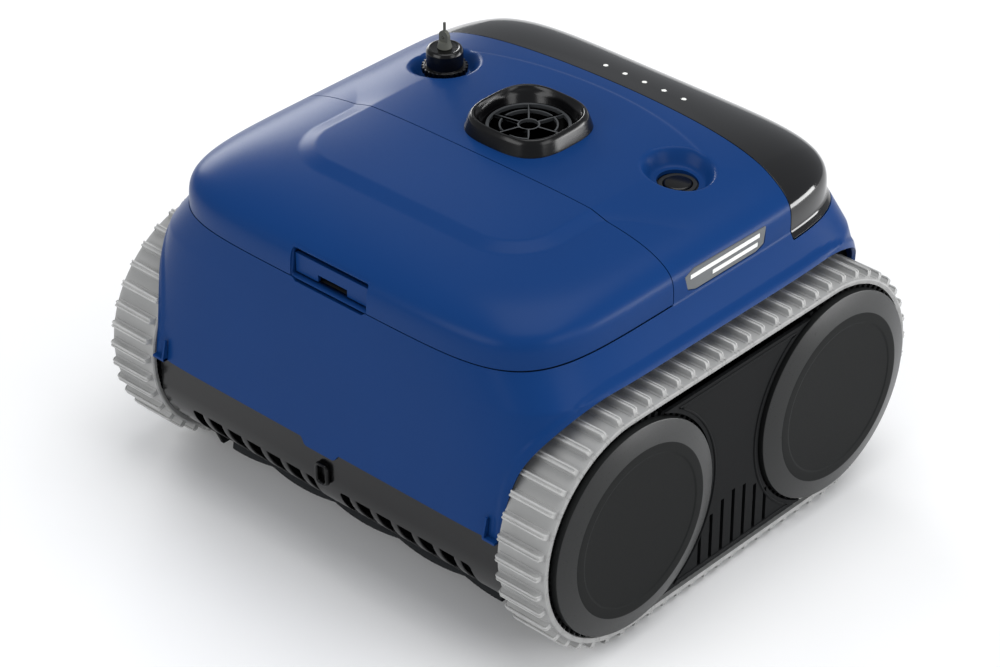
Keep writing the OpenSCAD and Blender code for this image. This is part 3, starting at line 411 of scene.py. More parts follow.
# %% Trim by a distance
def trim(points, faces, keep, step=1.9):
    points = points.copy()
    value = keep(points)
    near = np.abs(value) < 0.32 * step
    spot = points[near]
    normal = vertex_normals(points, faces)[near]
    nudge = np.eye(3) * 0.01
    slope = np.stack([(keep(spot + d) - keep(spot - d)) / 0.02 for d in nudge], 1)
    slope -= (slope * normal).sum(1)[:, None] * normal
    size = np.maximum((slope ** 2).sum(1), 0.05)
    move = -(value[near] / size)[:, None] * slope
    length = np.linalg.norm(move, axis=1)
    points[near] += move * np.minimum(1, 0.6 * step / np.maximum(length, 1e-9))[:, None]
    value = keep(points)
    value[near] = 0.0
    q = value[faces]
    whole = faces[(q >= 0).all(1) & (q > 0).any(1)]
    crossing = faces[(q > 0).any(1) & (q < 0).any(1)]
    extra, made, clipped = [], {}, []
    for face in crossing:
        loop = []
        for k in range(4):
            a, b = int(face[k]), int(face[(k + 1) % 4])
            if value[a] >= 0:
                loop.append(a)
            if value[a] * value[b] < 0:
                key = (min(a, b), max(a, b))
                if key not in made:
                    t = value[a] / (value[a] - value[b])
                    made[key] = len(points) + len(extra)
                    extra.append(points[a] + (points[b] - points[a]) * t)
                loop.append(made[key])
        if len(loop) >= 3:
            clipped.append(loop)
    points = np.concatenate([points, np.array(extra).reshape(-1, 3)])
    loops = whole.tolist() + clipped
    used = np.unique(np.concatenate([np.array(f) for f in loops]))
    lookup = np.full(len(points), -1)
    lookup[used] = np.arange(len(used))
    return points[used], [lookup[f].tolist() for f in loops]


above, _ = trim(form_points, form_faces, lambda p: p[:, 2] - SEAM_Z)
print("points above the seam", len(above), "of", len(form_points))


# %% [markdown]
# ## The band's line and the arches
# The display band starts at a line that bows forward at the sides. An arch follows the track: two
# quarter circles joined by a flat. The fender runs into the side of the shell with a soft blend,
# so its edge is the larger of two distances, eased where they meet.

# %% Band line, arch and fender
LID_REAR, GAP, BAND_Z = -33.0, 0.8, 220.0
TAB_HALF, TAB_TAPER, TAB_Z = 18.5, 0.7, 98.2
AXLE_Y, AXLE_Z, ARCH_R, ARCH_X, ARCH_SOFT = 110.2, 95.19, 104.8, 171.5, 28.0
OUTLET_Y, DUCT_R = 21.0, 30.0
LATCH_X, LATCH_TOP = 37.0, 246.7


def band_line(x):
    return 118.0 - 20.0 * (x / 180.0) ** 2


def arch_distance(p):
    y, z = np.abs(p[:, 1]), p[:, 2]
    disc = np.hypot(y - AXLE_Y, np.maximum(z - AXLE_Z, 0)) - ARCH_R
    flat = z - (AXLE_Z + ARCH_R)
    return np.where(y < AXLE_Y, flat, disc)


def fender_edge(p):
    inboard, over = ARCH_X - np.abs(p[:, 0]), arch_distance(p)
    blend = np.clip(1 - np.abs(inboard - over) / ARCH_SOFT, 0, 1)
    return np.maximum(inboard, over) + ARCH_SOFT / 4 * blend ** 2


print("the arch tops out at", round(AXLE_Z + ARCH_R, 1), "mm")

# %% [markdown]
# ## Small openings
# A rounded box serves for the latch pocket and the windows of the skirt. Each side light sits in
# a many-sided opening, given by its corners. The nose of the shell ends in a tapered tab that
# hooks into the catch of the skirt.

# %% Rounded box, side light and tab
def rounded_box(u, v, half_u, half_v, r):
    qu, qv = np.abs(u) - half_u + r, np.abs(v) - half_v + r
    return np.hypot(np.maximum(qu, 0), np.maximum(qv, 0)) + np.minimum(np.maximum(qu, qv), 0) - r


LIGHT = np.array([(-20, 240), (-17, 229), (-8, 226), (58, 226), (66, 229), (68, 242), (-10, 243)], float)


def light_distance(p, grow=0.3):
    inside = np.full(len(p), -1e9)
    for (ay, az), (by, bz) in zip(LIGHT, np.roll(LIGHT, -1, axis=0)):
        length = math.hypot(by - ay, bz - az)
        inside = np.maximum(inside, ((p[:, 1] - ay) * (bz - az) - (p[:, 2] - az) * (by - ay)) / length)
    return inside - grow


def tab_edge(p):
    sloped = (TAB_HALF - np.abs(p[:, 0])) - (BOTTOM_Z - p[:, 2]) * TAB_TAPER
    return np.minimum(sloped, p[:, 2] - TAB_Z)


print("side light opening", np.ptp(LIGHT, axis=0).tolist(), "mm long and high")

# %% [markdown]
# ## Where each moulding ends
# The lid takes all of the crown in front of its rear seam. The band takes what is behind its
# line. The shell is what is left: it runs under the lid to the nose, and it is cut by the arches,
# by the outlet, by two round dishes and by the side lights.

# %% What each moulding keeps
lens_low, lens_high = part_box("indicator_lenses")
LENS_X = np.linspace(lens_low.x / MM + 2, lens_high.x / MM - 2, 5)
LENS_Y = (lens_low.y + lens_high.y) / 2 / MM


def keep_lid(p):
    pocket = rounded_box(p[:, 0], p[:, 2] - 225, LATCH_X, LATCH_TOP - 225, 2.0)
    pocket = np.where(p[:, 1] < 0, pocket, 100.0)
    return np.minimum(LID_REAR - p[:, 1], pocket)


def keep_band(p):
    ahead = p[:, 1] - band_line(p[:, 0])
    holes = [np.hypot(p[:, 0] - x, p[:, 1] - LENS_Y) - 2.1 for x in LENS_X]
    return np.minimum.reduce([ahead, p[:, 2] - BAND_Z, *holes])


def keep_shell(p):
    under_lid = SEAM_Z - GAP - p[:, 2]
    behind_lid = p[:, 1] - (LID_REAR + GAP)
    before_band = np.maximum(band_line(p[:, 0]) - GAP - p[:, 1], BAND_Z - GAP - p[:, 2])
    arch = fender_edge(p)
    outlet = np.hypot(p[:, 0], p[:, 1] - OUTLET_Y) - DUCT_R - 3.3
    dishes = np.hypot(np.abs(p[:, 0]) - DISH_X, p[:, 1] - DISH_Y) - HOLE_R
    lights = np.where(np.abs(p[:, 0]) > 150, light_distance(p), 100.0)
    scoop = np.where(p[:, 1] < 0, rounded_box(p[:, 0], p[:, 2] - 226, 34.5, 4.2, 3.0), 100.0)
    on_top = np.where(p[:, 2] > 240, np.minimum(outlet, dishes), 100.0)
    hem = np.maximum(p[:, 2] - BOTTOM_Z, np.where(p[:, 1] < 0, tab_edge(p), -100.0))
    seam = np.maximum(under_lid, behind_lid)
    return np.minimum.reduce([seam, before_band, arch, on_top, lights, scoop, hem])


print("lenses at", [round(float(x), 1) for x in LENS_X])

# %% [markdown]
# ## The three large mouldings
# Each is trimmed from the same rings, gets its 3 mm wall inwards and a 0.7 mm radius on its rims.
# The shell also has a raised bead along the edge of each fender. It stiffens the free edge.
# Next to the lid its wall thins out, to make room for the lid's rear edge as it swings down.

# %% Lid, band and shell
BEAD_W, BEAD_OUT = 5.2, 1.3
lid_points, lid_faces = trim(form_points, form_faces[form_faces.min(1) >= LOW_RINGS * AROUND], keep_lid)
piece("filter_lid_moulding", lid_points, lid_faces, "lid", "blue_shell", ["filter_lid"], wall=3, edge=0.7)
band_points, band_faces = trim(form_points, form_faces, keep_band)
piece("display_band_moulding", band_points, band_faces, HULL, "black_band", ["rear_band"], wall=3, edge=0.7)
# the bead of the fenders
edge_gap = fender_edge(form_points)
rise = BEAD_OUT * smooth((edge_gap + 4) / 2) * (1 - smooth((edge_gap - BEAD_W + 1) / 1.6))
rise *= (form_points[:, 2] < 214) * smooth((np.abs(form_points[:, 0]) - 150) / 10)
beaded = form_points + vertex_normals(form_points, form_faces) * rise[:, None]
shell_points, shell_faces = trim(beaded, form_faces, keep_shell)
shell = piece("upper_shell_moulding", shell_points, shell_faces, HULL, "blue_shell", ["upper_shell"], wall=3,
              edge=0.5)
# the wall thins towards the lid
full = shell.vertex_groups.new(name="full_wall")
behind = shell_points[:, 1] - LID_REAR - GAP
share = np.where((shell_points[:, 2] > 240) & (behind < 7), 0.25 + 0.75 * np.clip(behind / 7, 0, 1), 1.0)
for i, weight in enumerate(share):
    full.add([i], float(weight), "REPLACE")
shell.modifiers["wall"].vertex_group = "full_wall"

# %% [markdown]
# ## Rounded outlines
# The smaller mouldings are drawn as outlines with a radius at every corner, because a tool can't
# cut a sharp inner corner and a moulding wouldn't fill one. A second function joins rows of
# points into a grid of faces, which may close on itself either way.

# %% Rounded outlines and grids
def rounded(path, radius, steps=4, closed=True):
    path = [np.array(p, float) for p in path]
    out = []
    for i, corner in enumerate(path):
        if not closed and i in (0, len(path) - 1):
            out.append(corner)
            continue
        before, after = path[i - 1], path[(i + 1) % len(path)]
        a, b = np.linalg.norm(before - corner), np.linalg.norm(after - corner)
        r = min(radius, 0.48 * a, 0.48 * b)
        start, end = corner + (before - corner) / a * r, corner + (after - corner) / b * r
        for t in np.linspace(0, 1, steps + 1):
            out.append((1 - t) ** 2 * start + 2 * t * (1 - t) * corner + t * t * end)
    return np.array(out)


def grid_faces(rows, cols, wrap_rows=False, wrap_cols=True):
    r = np.arange(rows if wrap_rows else rows - 1)
    c = np.arange(cols if wrap_cols else cols - 1)
    r, c = np.meshgrid(r, c, indexing="ij")
    r2, c2 = (r + 1) % rows, (c + 1) % cols
    return np.stack([r * cols + c, r * cols + c2, r2 * cols + c2, r2 * cols + c], -1).reshape(-1, 4).tolist()


square = rounded([(0, 0), (10, 0), (10, 10), (0, 10)], 2)
print("a square with rounded corners has", len(square), "points")

# %% [markdown]
# ## Spinning an outline
# Covers, caps, lenses and the brush are round. Their outline is spun about an axis, and a
# function may change the reach with the angle, for a knurl, a lobe or a squarer plan. A closed
# solid gets its face normals turned outwards and its hard edges marked.

# %% Spinning and closed solids
def spin(outline, count=144, scale=None, closed=False):
    outline = np.asarray(outline, float)
    a = np.arange(count) / count * 2 * math.pi
    reach = outline[:, :1] * np.ones((1, count)) if scale is None else scale(outline, a)
    points = np.stack([reach * np.cos(a), reach * np.sin(a), outline[:, 1:2] * np.ones((1, count))], -1)
    faces = grid_faces(len(outline), count, wrap_rows=closed)
    if not closed:
        faces += [list(range(count))[::-1], list(range((len(outline) - 1) * count, len(outline) * count))]
    return points.reshape(-1, 3), faces


def sideways(points, side, y, z):
    return np.stack([side * points[:, 2], y + points[:, 0], z + points[:, 1]], 1)


def solid(name, points, faces, body, slot, nodes=(), edge=0.0, sharp=32):
    obj = piece(name, points, faces, body, slot, nodes)
    work = bmesh.new()
    work.from_mesh(obj.data)
    bmesh.ops.recalc_face_normals(work, faces=work.faces)
    work.to_mesh(obj.data)
    work.free()
    obj.data.set_sharp_from_angle(angle=math.radians(sharp))
    if edge:
        rim = obj.modifiers.new("rim", "BEVEL")
        rim.width, rim.segments, rim.limit_method = edge * MM, 2, "ANGLE"
        rim.angle_limit = math.radians(sharp)
        rim.harden_normals = True
    return obj


post, post_faces = spin([(5, 0), (5, 20)])
print("a spun post has", len(post), "points and", len(post_faces), "faces")

# %% [markdown]
# ## Wheel covers
# A cover is a flat charcoal disc with a broad chamfer. The chamfer's steel was polished finer than the
# disc's, and its colour is painted a little paler as painted highlight, so it shows as a paler ring. The
# cover stands clear of the track by a narrow black gap.

# %% Wheel covers
COVER_FACE, COVER_R, COVER_X = 66.0, 82.0, 224.7
cover_line = rounded([(0.4, COVER_X - 0.5), (58, COVER_X - 0.5), (59.2, COVER_X), (COVER_FACE, COVER_X),
                      (COVER_R, 220.0), (COVER_R, 214.2), (COVER_R - 2.4, 214.2), (COVER_R - 2.4, 218.4),
                      (COVER_FACE - 1, 222.2), (12, 222.2), (12, 214.2), (0.4, 214.2)], 0.7, 4, closed=False)
disc, disc_faces = spin(cover_line, 192)
# the finer steel of the chamfer returns more light than the grained disc
chamfer_gloss_and_painted_highlight = moulded("Satin_polypropylene_chamfer_painted_highlight", "#1d1e1e", 0.3, 0.8, 0.006, tone=0.04, gloss=0.34)
for side, hand in ((-1, "left"), (1, "right")):
    for end, place in ((-1, "front"), (1, "rear")):
        cover = solid(f"cover_{place}_{hand}", sideways(disc, side, end * AXLE_Y, AXLE_Z), disc_faces,
                      f"{place}_wheel_{hand}", "cover_plastic", [f"wheel_cover_{place}_{hand}"])
        # the chamfer faces take the glossier finish, whose paler colour is painted highlight
        cover.data.materials.append(chamfer_gloss_and_painted_highlight)
        for face in cover.data.polygons:
            middle = face.center / MM
            out = math.hypot(middle.y - end * AXLE_Y, middle.z - AXLE_Z)
            face.material_index = int(abs(middle.x) > 219.9 and out > COVER_FACE + 0.3)

# %% [markdown]
# ## Tracks
# A track is one endless grid: 65 equal pitches along the loop, and across the belt from the
# inboard edge to the outboard one. Each cleat is a fin on a stepped root, with a shallow groove
# along its top that leaves two wiping lips. Its ends come down in a rounded nose. The inside has
# a drive tooth at every half pitch. One function finds a place on the loop from the length run.

# %% Track profiles
PITCH, CLEATS, R_IN, R_OUT = 15.2, 65, 85.19, 88.99
CLEAT_TALL = 6.15
LOOP, HALF_LOOP, SPAN = PITCH * CLEATS, 36 * PITCH / 2, 29 * PITCH / 2
CLEAT = [(-7.6, 0), (-4.2, 0), (-3.6, 0.2), (-3.2, 0.9), (-2.3, 1.1), (-1.9, 1.6), (-1.5, 4.4), (-1.95, 5.0),
         (-1.95, 5.7), (-1.6, CLEAT_TALL), (-0.85, 6.1), (-0.5, 5.2), (0.5, 5.2), (0.85, 6.1),
         (1.6, CLEAT_TALL), (1.95, 5.7), (1.95, 5.0), (1.5, 4.4), (1.9, 1.6), (2.3, 1.1), (3.2, 0.9),
         (3.6, 0.2), (4.2, 0)]
TOOTH = [(-1.8, 0), (-1.65, 0.9), (-1.3, 2.6), (-0.9, 3), (0.9, 3), (1.3, 2.6), (1.65, 0.9), (1.8, 0)]
ACROSS = [(172.9, 0, 0), (172.3, 0.7, 0), (172.9, 1, 0), (174.4, 1, 0), (174.6, 1, 0.05), (174.7, 1, 0.6),
          (175.3, 1, 0.88), (176.6, 1, 1), (194.0, 1, 1), (211.2, 1, 1), (212.7, 1, 0.9), (213.4, 1, 0.6),
          (213.6, 1, 0.05), (213.8, 1, 0), (215.5, 1, 0), (216.1, 0.7, 0), (215.5, 0, 0)]


def on_loop(s, r):
    s = np.mod(s, LOOP)
    swing = math.pi / HALF_LOOP
    a = math.pi / 2 + swing * s
    b = swing * (s - HALF_LOOP - SPAN) - math.pi / 2
    y = np.select([s < HALF_LOOP, s < HALF_LOOP + SPAN, s < 2 * HALF_LOOP + SPAN],
                  [-AXLE_Y + r * np.cos(a), -AXLE_Y + s - HALF_LOOP, AXLE_Y + r * np.cos(b)],
                  AXLE_Y - (s - 2 * HALF_LOOP - SPAN))
    z = np.select([s < HALF_LOOP, s < HALF_LOOP + SPAN, s < 2 * HALF_LOOP + SPAN],
                  [AXLE_Z + r * np.sin(a), AXLE_Z - r, AXLE_Z + r * np.sin(b)], AXLE_Z + r)
    return y, z


print("belt length", round(LOOP, 1), "mm, cleats", CLEATS)

# %% [markdown]
# ## The two belts
# The outer side carries the cleats and the inner side the teeth, each as rows of points across
# the belt. Both sides share their edges, so the belt is a closed band of rubber. The value tip
# is stored on the points for the finish to use.

# %% Track belts
outer = np.array([((i + 0.75) * PITCH + d, h) for i in range(CLEATS) for d, h in CLEAT])
inner = np.array([(i * PITCH / 2 + d, h) for i in range(2 * CLEATS) for d, h in TOOTH])
outer_rows = [(x, R_IN + (R_OUT - R_IN) * lift + outer[:, 1] * h, outer[:, 0], outer[:, 1] * h / CLEAT_TALL)
              for x, lift, h in ACROSS]
inner_rows = [(x, R_IN - inner[:, 1] * h, inner[:, 0], 0 * inner[:, 0])
              for x, h in ((215.5, 0), (212.3, 0), (212.0, 0.85), (211.4, 1), (176.6, 1), (176.0, 0.85),
                           (175.7, 0), (172.9, 0))]


def belt_part(rows):
    cols, points = len(rows[0][2]), []
    for x, r, s, _ in rows:
        y, z = on_loop(s, r)
        points.append(np.stack([np.full(cols, x), y, z], 1))
    return np.concatenate(points), grid_faces(len(rows), cols), np.concatenate([row[3] for row in rows])


out_points, out_faces, out_tip = belt_part(outer_rows)
in_points, in_faces, in_tip = belt_part(inner_rows)
for side, hand in ((-1, "left"), (1, "right")):
    flip = np.array([side, 1, 1])
    points = np.concatenate([out_points, in_points]) * flip
    faces = out_faces + [[i + len(out_points) for i in f] for f in in_faces]
    if side > 0:
        faces = [f[::-1] for f in faces]
    belt = piece(f"belt_{hand}", points, faces, HULL, "track_rubber", [f"track_{hand}"])
    tip = belt.data.attributes.new("tip", "FLOAT", "POINT")
    tip.data.foreach_set("value", np.concatenate([out_tip, in_tip]))
    belt.data.set_sharp_from_angle(angle=math.radians(28))

# %% [markdown]
# ## Outlet bezel
# The bezel is a rounded square, polished black, with a full rolled edge on top. A superellipse of
# power 3 is its plan, so the same outline can be spun while its reach changes with the angle.

# %% Outlet bezel
def rounded_square(outline, a):
    reach = (np.abs(np.cos(a)) ** 3 + np.abs(np.sin(a)) ** 3) ** (-1 / 3)
    blend = np.clip((outline[:, :1] - 31) / 3.5, 0, 1)
    return outline[:, :1] * (1 + (reach[None, :] - 1) * blend)


bezel_line = rounded([(41.8, 270.0), (41.5, 272.2), (38.6, 281.6), (37.0, 284.0), (35.4, 284.0),
                      (33.6, 280.0), (31.6, 271.4), (30.3, 271.0), (30.3, 269.4)], 2.2, 7)
points, faces = spin(bezel_line, 192, rounded_square, closed=True)
solid("outlet_surround", points + np.array([0, OUTLET_Y, 0]), faces, HULL, "black_trim", ["outlet_bezel"],
      sharp=60)

# %% [markdown]
# ## Port cap and eyelet
# The cap screws into the left dish. Its flange is knurled with 24 teeth so wet fingers can turn it, and a
# smaller smooth barrel stands above the flange with the grey eyelet of the tether.

# %% Port cap
def knurl(count, low, high, depth):
    def reach(outline, a):
        wave = np.abs((a * count / (2 * math.pi)) % 1 - 0.5) * 2
        tooth = smooth((wave - 0.35) / 0.3)
        mask = ((outline[:, 1] > low) & (outline[:, 1] < high)).astype(float)[:, None]
        return outline[:, :1] + depth * tooth[None, :] * mask
    return reach


CAP_X = -DISH_X
cap_line = rounded([(0.4, 282.0), (10.5, 282.0), (11.2, 282.6), (12.9, 282.0), (14.0, 279.6), (14.0, 267.6),
                    (15.6, 267.8), (16.0, 267.2), (16.0, 263.2), (13.6, 262.6), (13.4, 259), (0.4, 259)],
                   0.5, 3, closed=False)
points, faces = spin(cap_line, 288, knurl(24, 262.9, 267.3, 1.5))
solid("cap_body", points + np.array([CAP_X, DISH_Y, 0]), faces, "cap", "black_trim", ["port_cap"])

# %% [markdown]
# ## Indicator lenses
# Five light pipes come up through the band. Each ends in a low dome just proud of the gloss skin.

# %% Indicator lenses
lens_points, lens_faces = [], []
for x in LENS_X:
    top = float(top_z(x, LENS_Y)) + 0.25
    points, faces = spin([(0.3, top), (1.3, top - 0.08), (1.85, top - 0.3), (1.95, top - 0.9),
                          (1.95, top - 9), (0.3, top - 9)], 32)
    lens_faces += [[i + sum(map(len, lens_points)) for i in f] for f in faces]
    lens_points.append(points + np.array([x, LENS_Y, 0]))
solid("lens_row", np.concatenate(lens_points), lens_faces, HULL, slot_of["indicator_lenses"],
      ["indicator_lenses"])

# %% [markdown]
# ## Latch pocket
# The finger pocket is sunk into the lid. Its mouth follows the curved front, and its floor is
# flat, so the pocket is deepest at the top. The loops of its wall run from the skin to the floor.
# The deep end is given the black base finish as painted shade, so the slot under the paddle looks like a dark
# mouth.

# %% Latch pocket
def front_y(x, z):
    up = np.clip((z - SEAM_Z) / (TOP_Z - SEAM_Z), 0, 1) ** CROWN_M
    return -HALF_Y * ((1 - up) ** (PLAN_N / CROWN_M) - (np.abs(x) / HALF_X) ** PLAN_N) ** (1 / PLAN_N)


mouth = rounded([(-LATCH_X, 225.2), (LATCH_X, 225.2), (LATCH_X, LATCH_TOP), (-LATCH_X, LATCH_TOP)], 2.0, 6)
loops = []
for depth, shrink in ((0.9, 0.0), (3.2, 0.1), (8.0, 0.3), (13.5, 1.0), (16.5, 3.0)):
    x = mouth[:, 0] * (1 - shrink / LATCH_X)
    z = 235.3 + (mouth[:, 1] - 235.3) * (1 - shrink / 12)
    loops.append(np.stack([x, np.minimum(front_y(mouth[:, 0], mouth[:, 1]) + depth, -164.4), z], 1))
count = len(mouth)
piece("latch_pocket", np.concatenate(loops[:3]), grid_faces(3, count), "lid", "blue_shell", wall=1.6)
# the deep loops are the same blue moulding, painted black here as painted shade
painted_shade_faces = grid_faces(3, count) + [list(range(2 * count, 3 * count))]
piece("latch_pocket_painted_shade", np.concatenate(loops[2:]), painted_shade_faces, "lid", "black_base", wall=1.6)

# %% [markdown]
# ## Inside of the shell
# With the lid up, more of the shell shows: a flange that the lid's seal rests on and a cross wall
# behind the filter bay. They are part of the same moulding.

# %% Flange and cross wall
front_half = oval(HALF_X, HALF_Y, PLAN_N)[:, 1] < -29
SEAT_Z, SEAT_IN, seat_cols = 219.0, 3.2, int(front_half.sum())
flange = [np.column_stack([oval(HALF_X - SEAT_IN - k, HALF_Y - SEAT_IN - k, PLAN_N)[front_half],
                           np.full(seat_cols, SEAT_Z)]) for k in (0, 5, 10)]
piece("lid_seat", np.concatenate(flange), grid_faces(3, seat_cols, wrap_cols=False), HULL, "blue_shell",
      wall=3, edge=0.5)
CROSS_Y, CROSS_COLS, LINER_WALL = -28.2, 40, 2.6
wall_x = np.linspace(-168, 168, CROSS_COLS)
rows = [np.column_stack([wall_x, np.full(CROSS_COLS, CROSS_Y), np.full(CROSS_COLS, z)])
        for z in (167, 180, 200, 220, 246, 250.5)]
piece("cross_wall", np.concatenate(rows), grid_faces(6, CROSS_COLS, wrap_cols=False), HULL, "blue_shell",
      wall=LINER_WALL, edge=0.5)

# %% [markdown]
# ## Arches over the tracks
# Over each track a liner closes the gap between the fender and the body, and a dark wall stands
# inboard of the belt. Both follow the line of the arch, and they are held just inside the skin.

# %% Arch liners and walls
arch_turn = np.linspace(math.radians(18), math.pi / 2, 40)
arc_y, arc_z = AXLE_Y + ARCH_R * np.cos(arch_turn), AXLE_Z + ARCH_R * np.sin(arch_turn)
path_y = np.concatenate([-arc_y, np.linspace(-AXLE_Y, AXLE_Y, 40)[1:-1], arc_y[::-1]])
path_z = np.concatenate([arc_z, np.full(38, AXLE_Z + ARCH_R), arc_z[::-1]])


def side_x(y, z):
    half_x, half_y, power = low_section(z)
    return half_x * max(0.0, 1 - (abs(y) / half_y) ** power) ** (1 / power)


def end_y(z):
    half_x, half_y, power = low_section(z)
    return half_y * (1 - (ARCH_X / half_x) ** power) ** (1 / power)


reach = np.array([side_x(y, z) for y, z in zip(path_y, path_z)])
used = reach > ARCH_X + 4
for side, hand in ((-1, "left"), (1, "right")):
    rows = [np.column_stack([side * (ARCH_X + (reach[used] - 1.5 - ARCH_X) * t), path_y[used],
                             path_z[used] + 0.05]) for t in (0, 0.5, 1)]
    faces = grid_faces(3, int(used.sum()), wrap_cols=False)
    piece(f"arch_liner_{hand}", np.concatenate(rows), faces if side < 0 else [f[::-1] for f in faces], HULL,
          "blue_shell", wall=LINER_WALL)
    tall = np.abs(path_y) < 193.4
    rows = []
    for t in np.linspace(0, 1, 14):
        high = BOTTOM_Z + 0.5 + (path_z[tall] + 1.5 - BOTTOM_Z) * t
        limit = np.array([end_y(z) for z in high]) - 2.4
        rows.append(np.column_stack([np.full(len(high), side * (ARCH_X - 0.1)),
                                     np.clip(path_y[tall], -limit, limit), high]))
    faces = grid_faces(14, int(tall.sum()), wrap_cols=False)
    piece(f"arch_wall_{hand}", np.concatenate(rows), [f[::-1] for f in faces] if side < 0 else faces,
          HULL, "black_base", wall=2.8, edge=0.5)

# %% [markdown]
# ## Front skirt
# The skirt wraps round the roller brush. Each of its two windows is crossed by broad bars that
# keep a hand away from the brush, and between the windows sits the small catch that holds the
# shell's tab. The sheet is drawn flat along its arc, trimmed, and given its wall.

# %% Front skirt and brush
SKIRT_Y, SKIRT_Z, SKIRT_R, SKIRT_HALF, SKIRT_WRAP = -143.0, 80.0, 50.5, 170.6, 70.0
wrap = np.radians(np.linspace(0, SKIRT_WRAP, 44))
line = np.concatenate([np.stack([np.full(14, SKIRT_Y - SKIRT_R), np.linspace(103.4, SKIRT_Z, 15)[:-1]], 1),
                       np.stack([SKIRT_Y - SKIRT_R * np.cos(wrap), SKIRT_Z - SKIRT_R * np.sin(wrap)], 1)])
SHEET_COLS = 240
across = np.linspace(-SKIRT_HALF, SKIRT_HALF, SHEET_COLS)
sheet = np.concatenate([np.column_stack([across, np.full(SHEET_COLS, y), np.full(SHEET_COLS, z)])
                        for y, z in line])
faces = np.array(grid_faces(len(line), SHEET_COLS, wrap_cols=False))


def skirt_windows(p):
    along = SKIRT_R * np.arctan2(SKIRT_Z - p[:, 2], SKIRT_Y - p[:, 1])
    return rounded_box(np.abs(p[:, 0]) - 76.5, along - 28.5, 63.5, 15.5, 3.0)


points, faces = trim(sheet, faces[:, ::-1], skirt_windows, 1.3)
piece("skirt_sheet", points, faces, HULL, "black_trim", ["front_skirt"], wall=2.4, edge=0.5)
BARS, FIRST_BAR, BAR_PITCH, BAR_HALF = 6, 25.0, 20.4, 3.4
bar_turn = np.radians(np.linspace(12, 56, 20))
section = rounded([(-BAR_HALF, -0.5), (BAR_HALF, -0.5), (BAR_HALF, -3.2), (-BAR_HALF, -3.2)], 1.0, 3)
for side, hand in ((-1, "left"), (1, "right")):
    for k in range(BARS):
        x = side * (FIRST_BAR + BAR_PITCH * k)
        rows = [np.stack([x + section[:, 0], SKIRT_Y - (SKIRT_R + section[:, 1]) * math.cos(a),
                          SKIRT_Z - (SKIRT_R + section[:, 1]) * math.sin(a)], 1) for a in bar_turn]
        ends = [list(range(len(section)))[::-1],
                list(range((len(rows) - 1) * len(section), len(rows) * len(section)))]
        solid(f"skirt_bar_{hand}_{k}", np.concatenate(rows), grid_faces(len(rows), len(section)) + ends, HULL,
              "black_trim")

# %% [markdown]
# ## Catch and roller brush
# The catch is a ring bent from one bead. The brush is an open-cell foam roller with eight lobes
# that wind slowly round its length, on a thin steel-cored spindle.

# %% Catch and roller brush
def bead(path, lift, wide, high, around=12):
    path, lift = np.asarray(path, float), np.asarray(lift, float)
    ahead = np.roll(path, -1, axis=0) - np.roll(path, 1, axis=0)
    beside = np.cross(ahead, lift)
    beside /= np.linalg.norm(beside, axis=1)[:, None]
    a = np.arange(around) / around * 2 * math.pi
    rows = path[:, None] + wide * np.cos(a)[None, :, None] * beside[:, None]
    rows = rows + high * np.sin(a)[None, :, None] * lift
    return rows.reshape(-1, 3), grid_faces(len(path), around, wrap_rows=True)


CATCH_Y = -195.2
catch = rounded([(-5, 71), (5, 71), (5, 87), (-5, 87)], 3.5, 6)
catch_path = np.column_stack([catch[:, 0], np.full(len(catch), CATCH_Y), catch[:, 1]])
points, faces = bead(catch_path, (0, -1, 0), 1.5, 2.4)
solid("catch_ring", points, faces, HULL, "black_trim")
BRUSH_Y, BRUSH_Z, BRUSH_R, LOBES, TWIST, NOTCH = -137.86, 33.07, 26.5, 8, 0.012, 6.0


def lobes(outline, a):
    wave = 0.5 + 0.5 * np.cos(LOBES * (a[None, :] + outline[:, 1:2] * TWIST))
    return np.where(outline[:, :1] > 15, outline[:, :1] - NOTCH * (1 - wave ** 3), outline[:, :1])


brush_x = np.linspace(-139, 139, 90)
brush_line = np.concatenate([[(4, -140.5), (19, -140.5)], np.stack([np.full(90, BRUSH_R), brush_x], 1),
                             [(19, 140.5), (4, 140.5)]])
points, faces = spin(brush_line, 128, lobes)
shaft_line = rounded([(3.9, -149), (4.2, -148.6), (4.2, 151.2), (3.9, 151.6)], 0.3, 2, closed=False)
shaft, shaft_faces = spin(shaft_line, 48)
points, faces = np.concatenate([points, shaft]), faces + [[i + len(points) for i in f] for f in shaft_faces]
solid("brush_foam_roller", sideways(points, 1, BRUSH_Y, BRUSH_Z), faces, "brush", "brush_foam",
      ["brush_roller"])

# %% [markdown]
# ## Ribs on the side panels and feet of the shell
# A rib runs round each side panel inside its edge and stiffens it. At both front corners of the
# shell a small foot with a gusset takes the screw from below.

# %% Side ribs and corner feet
RIB_INSET, PANEL_HALF, RIB_X = 88.3, 75.2, 217.2
corner = math.asin(PANEL_HALF / RIB_INSET)
sweep = np.linspace(math.pi - corner, math.pi + corner, 40)
arc = np.stack([AXLE_Y + RIB_INSET * np.cos(sweep), AXLE_Z + RIB_INSET * np.sin(sweep)], 1)
outline = np.concatenate([arc, arc[::-1] * (-1, 1)])
for side, hand in ((-1, "left"), (1, "right")):
    rib_path = np.column_stack([np.full(len(outline), side * RIB_X), outline])
    points, faces = bead(rib_path, (side, 0, 0), 1.0, 0.9, 10)
    solid(f"panel_rib_{hand}", points, faces, HULL, "black_base")
    wedge = rounded([(-196.6, 104.2), (-200.4, 104.2), (-200.6, 107), (-197.2, 121), (-195, 121)], 0.5, 3)
    plate = rounded([(-196.0, 104.2), (-200.4, 104.2), (-200.4, 106.4), (-196.0, 106.4)], 0.5, 3)
    for label, form, xs in (("gusset", wedge, (159.4, 161.2)), ("foot", plate, (159.4, 170.8))):
        rows = [np.column_stack([np.full(len(form), side * x), form]) for x in xs]
        caps = [list(range(len(form)))[::-1], list(range(len(form), 2 * len(form)))]
        solid(f"{label}_{hand}", np.concatenate(rows), grid_faces(2, len(form)) + caps, HULL, "blue_shell",
              edge=0.3)

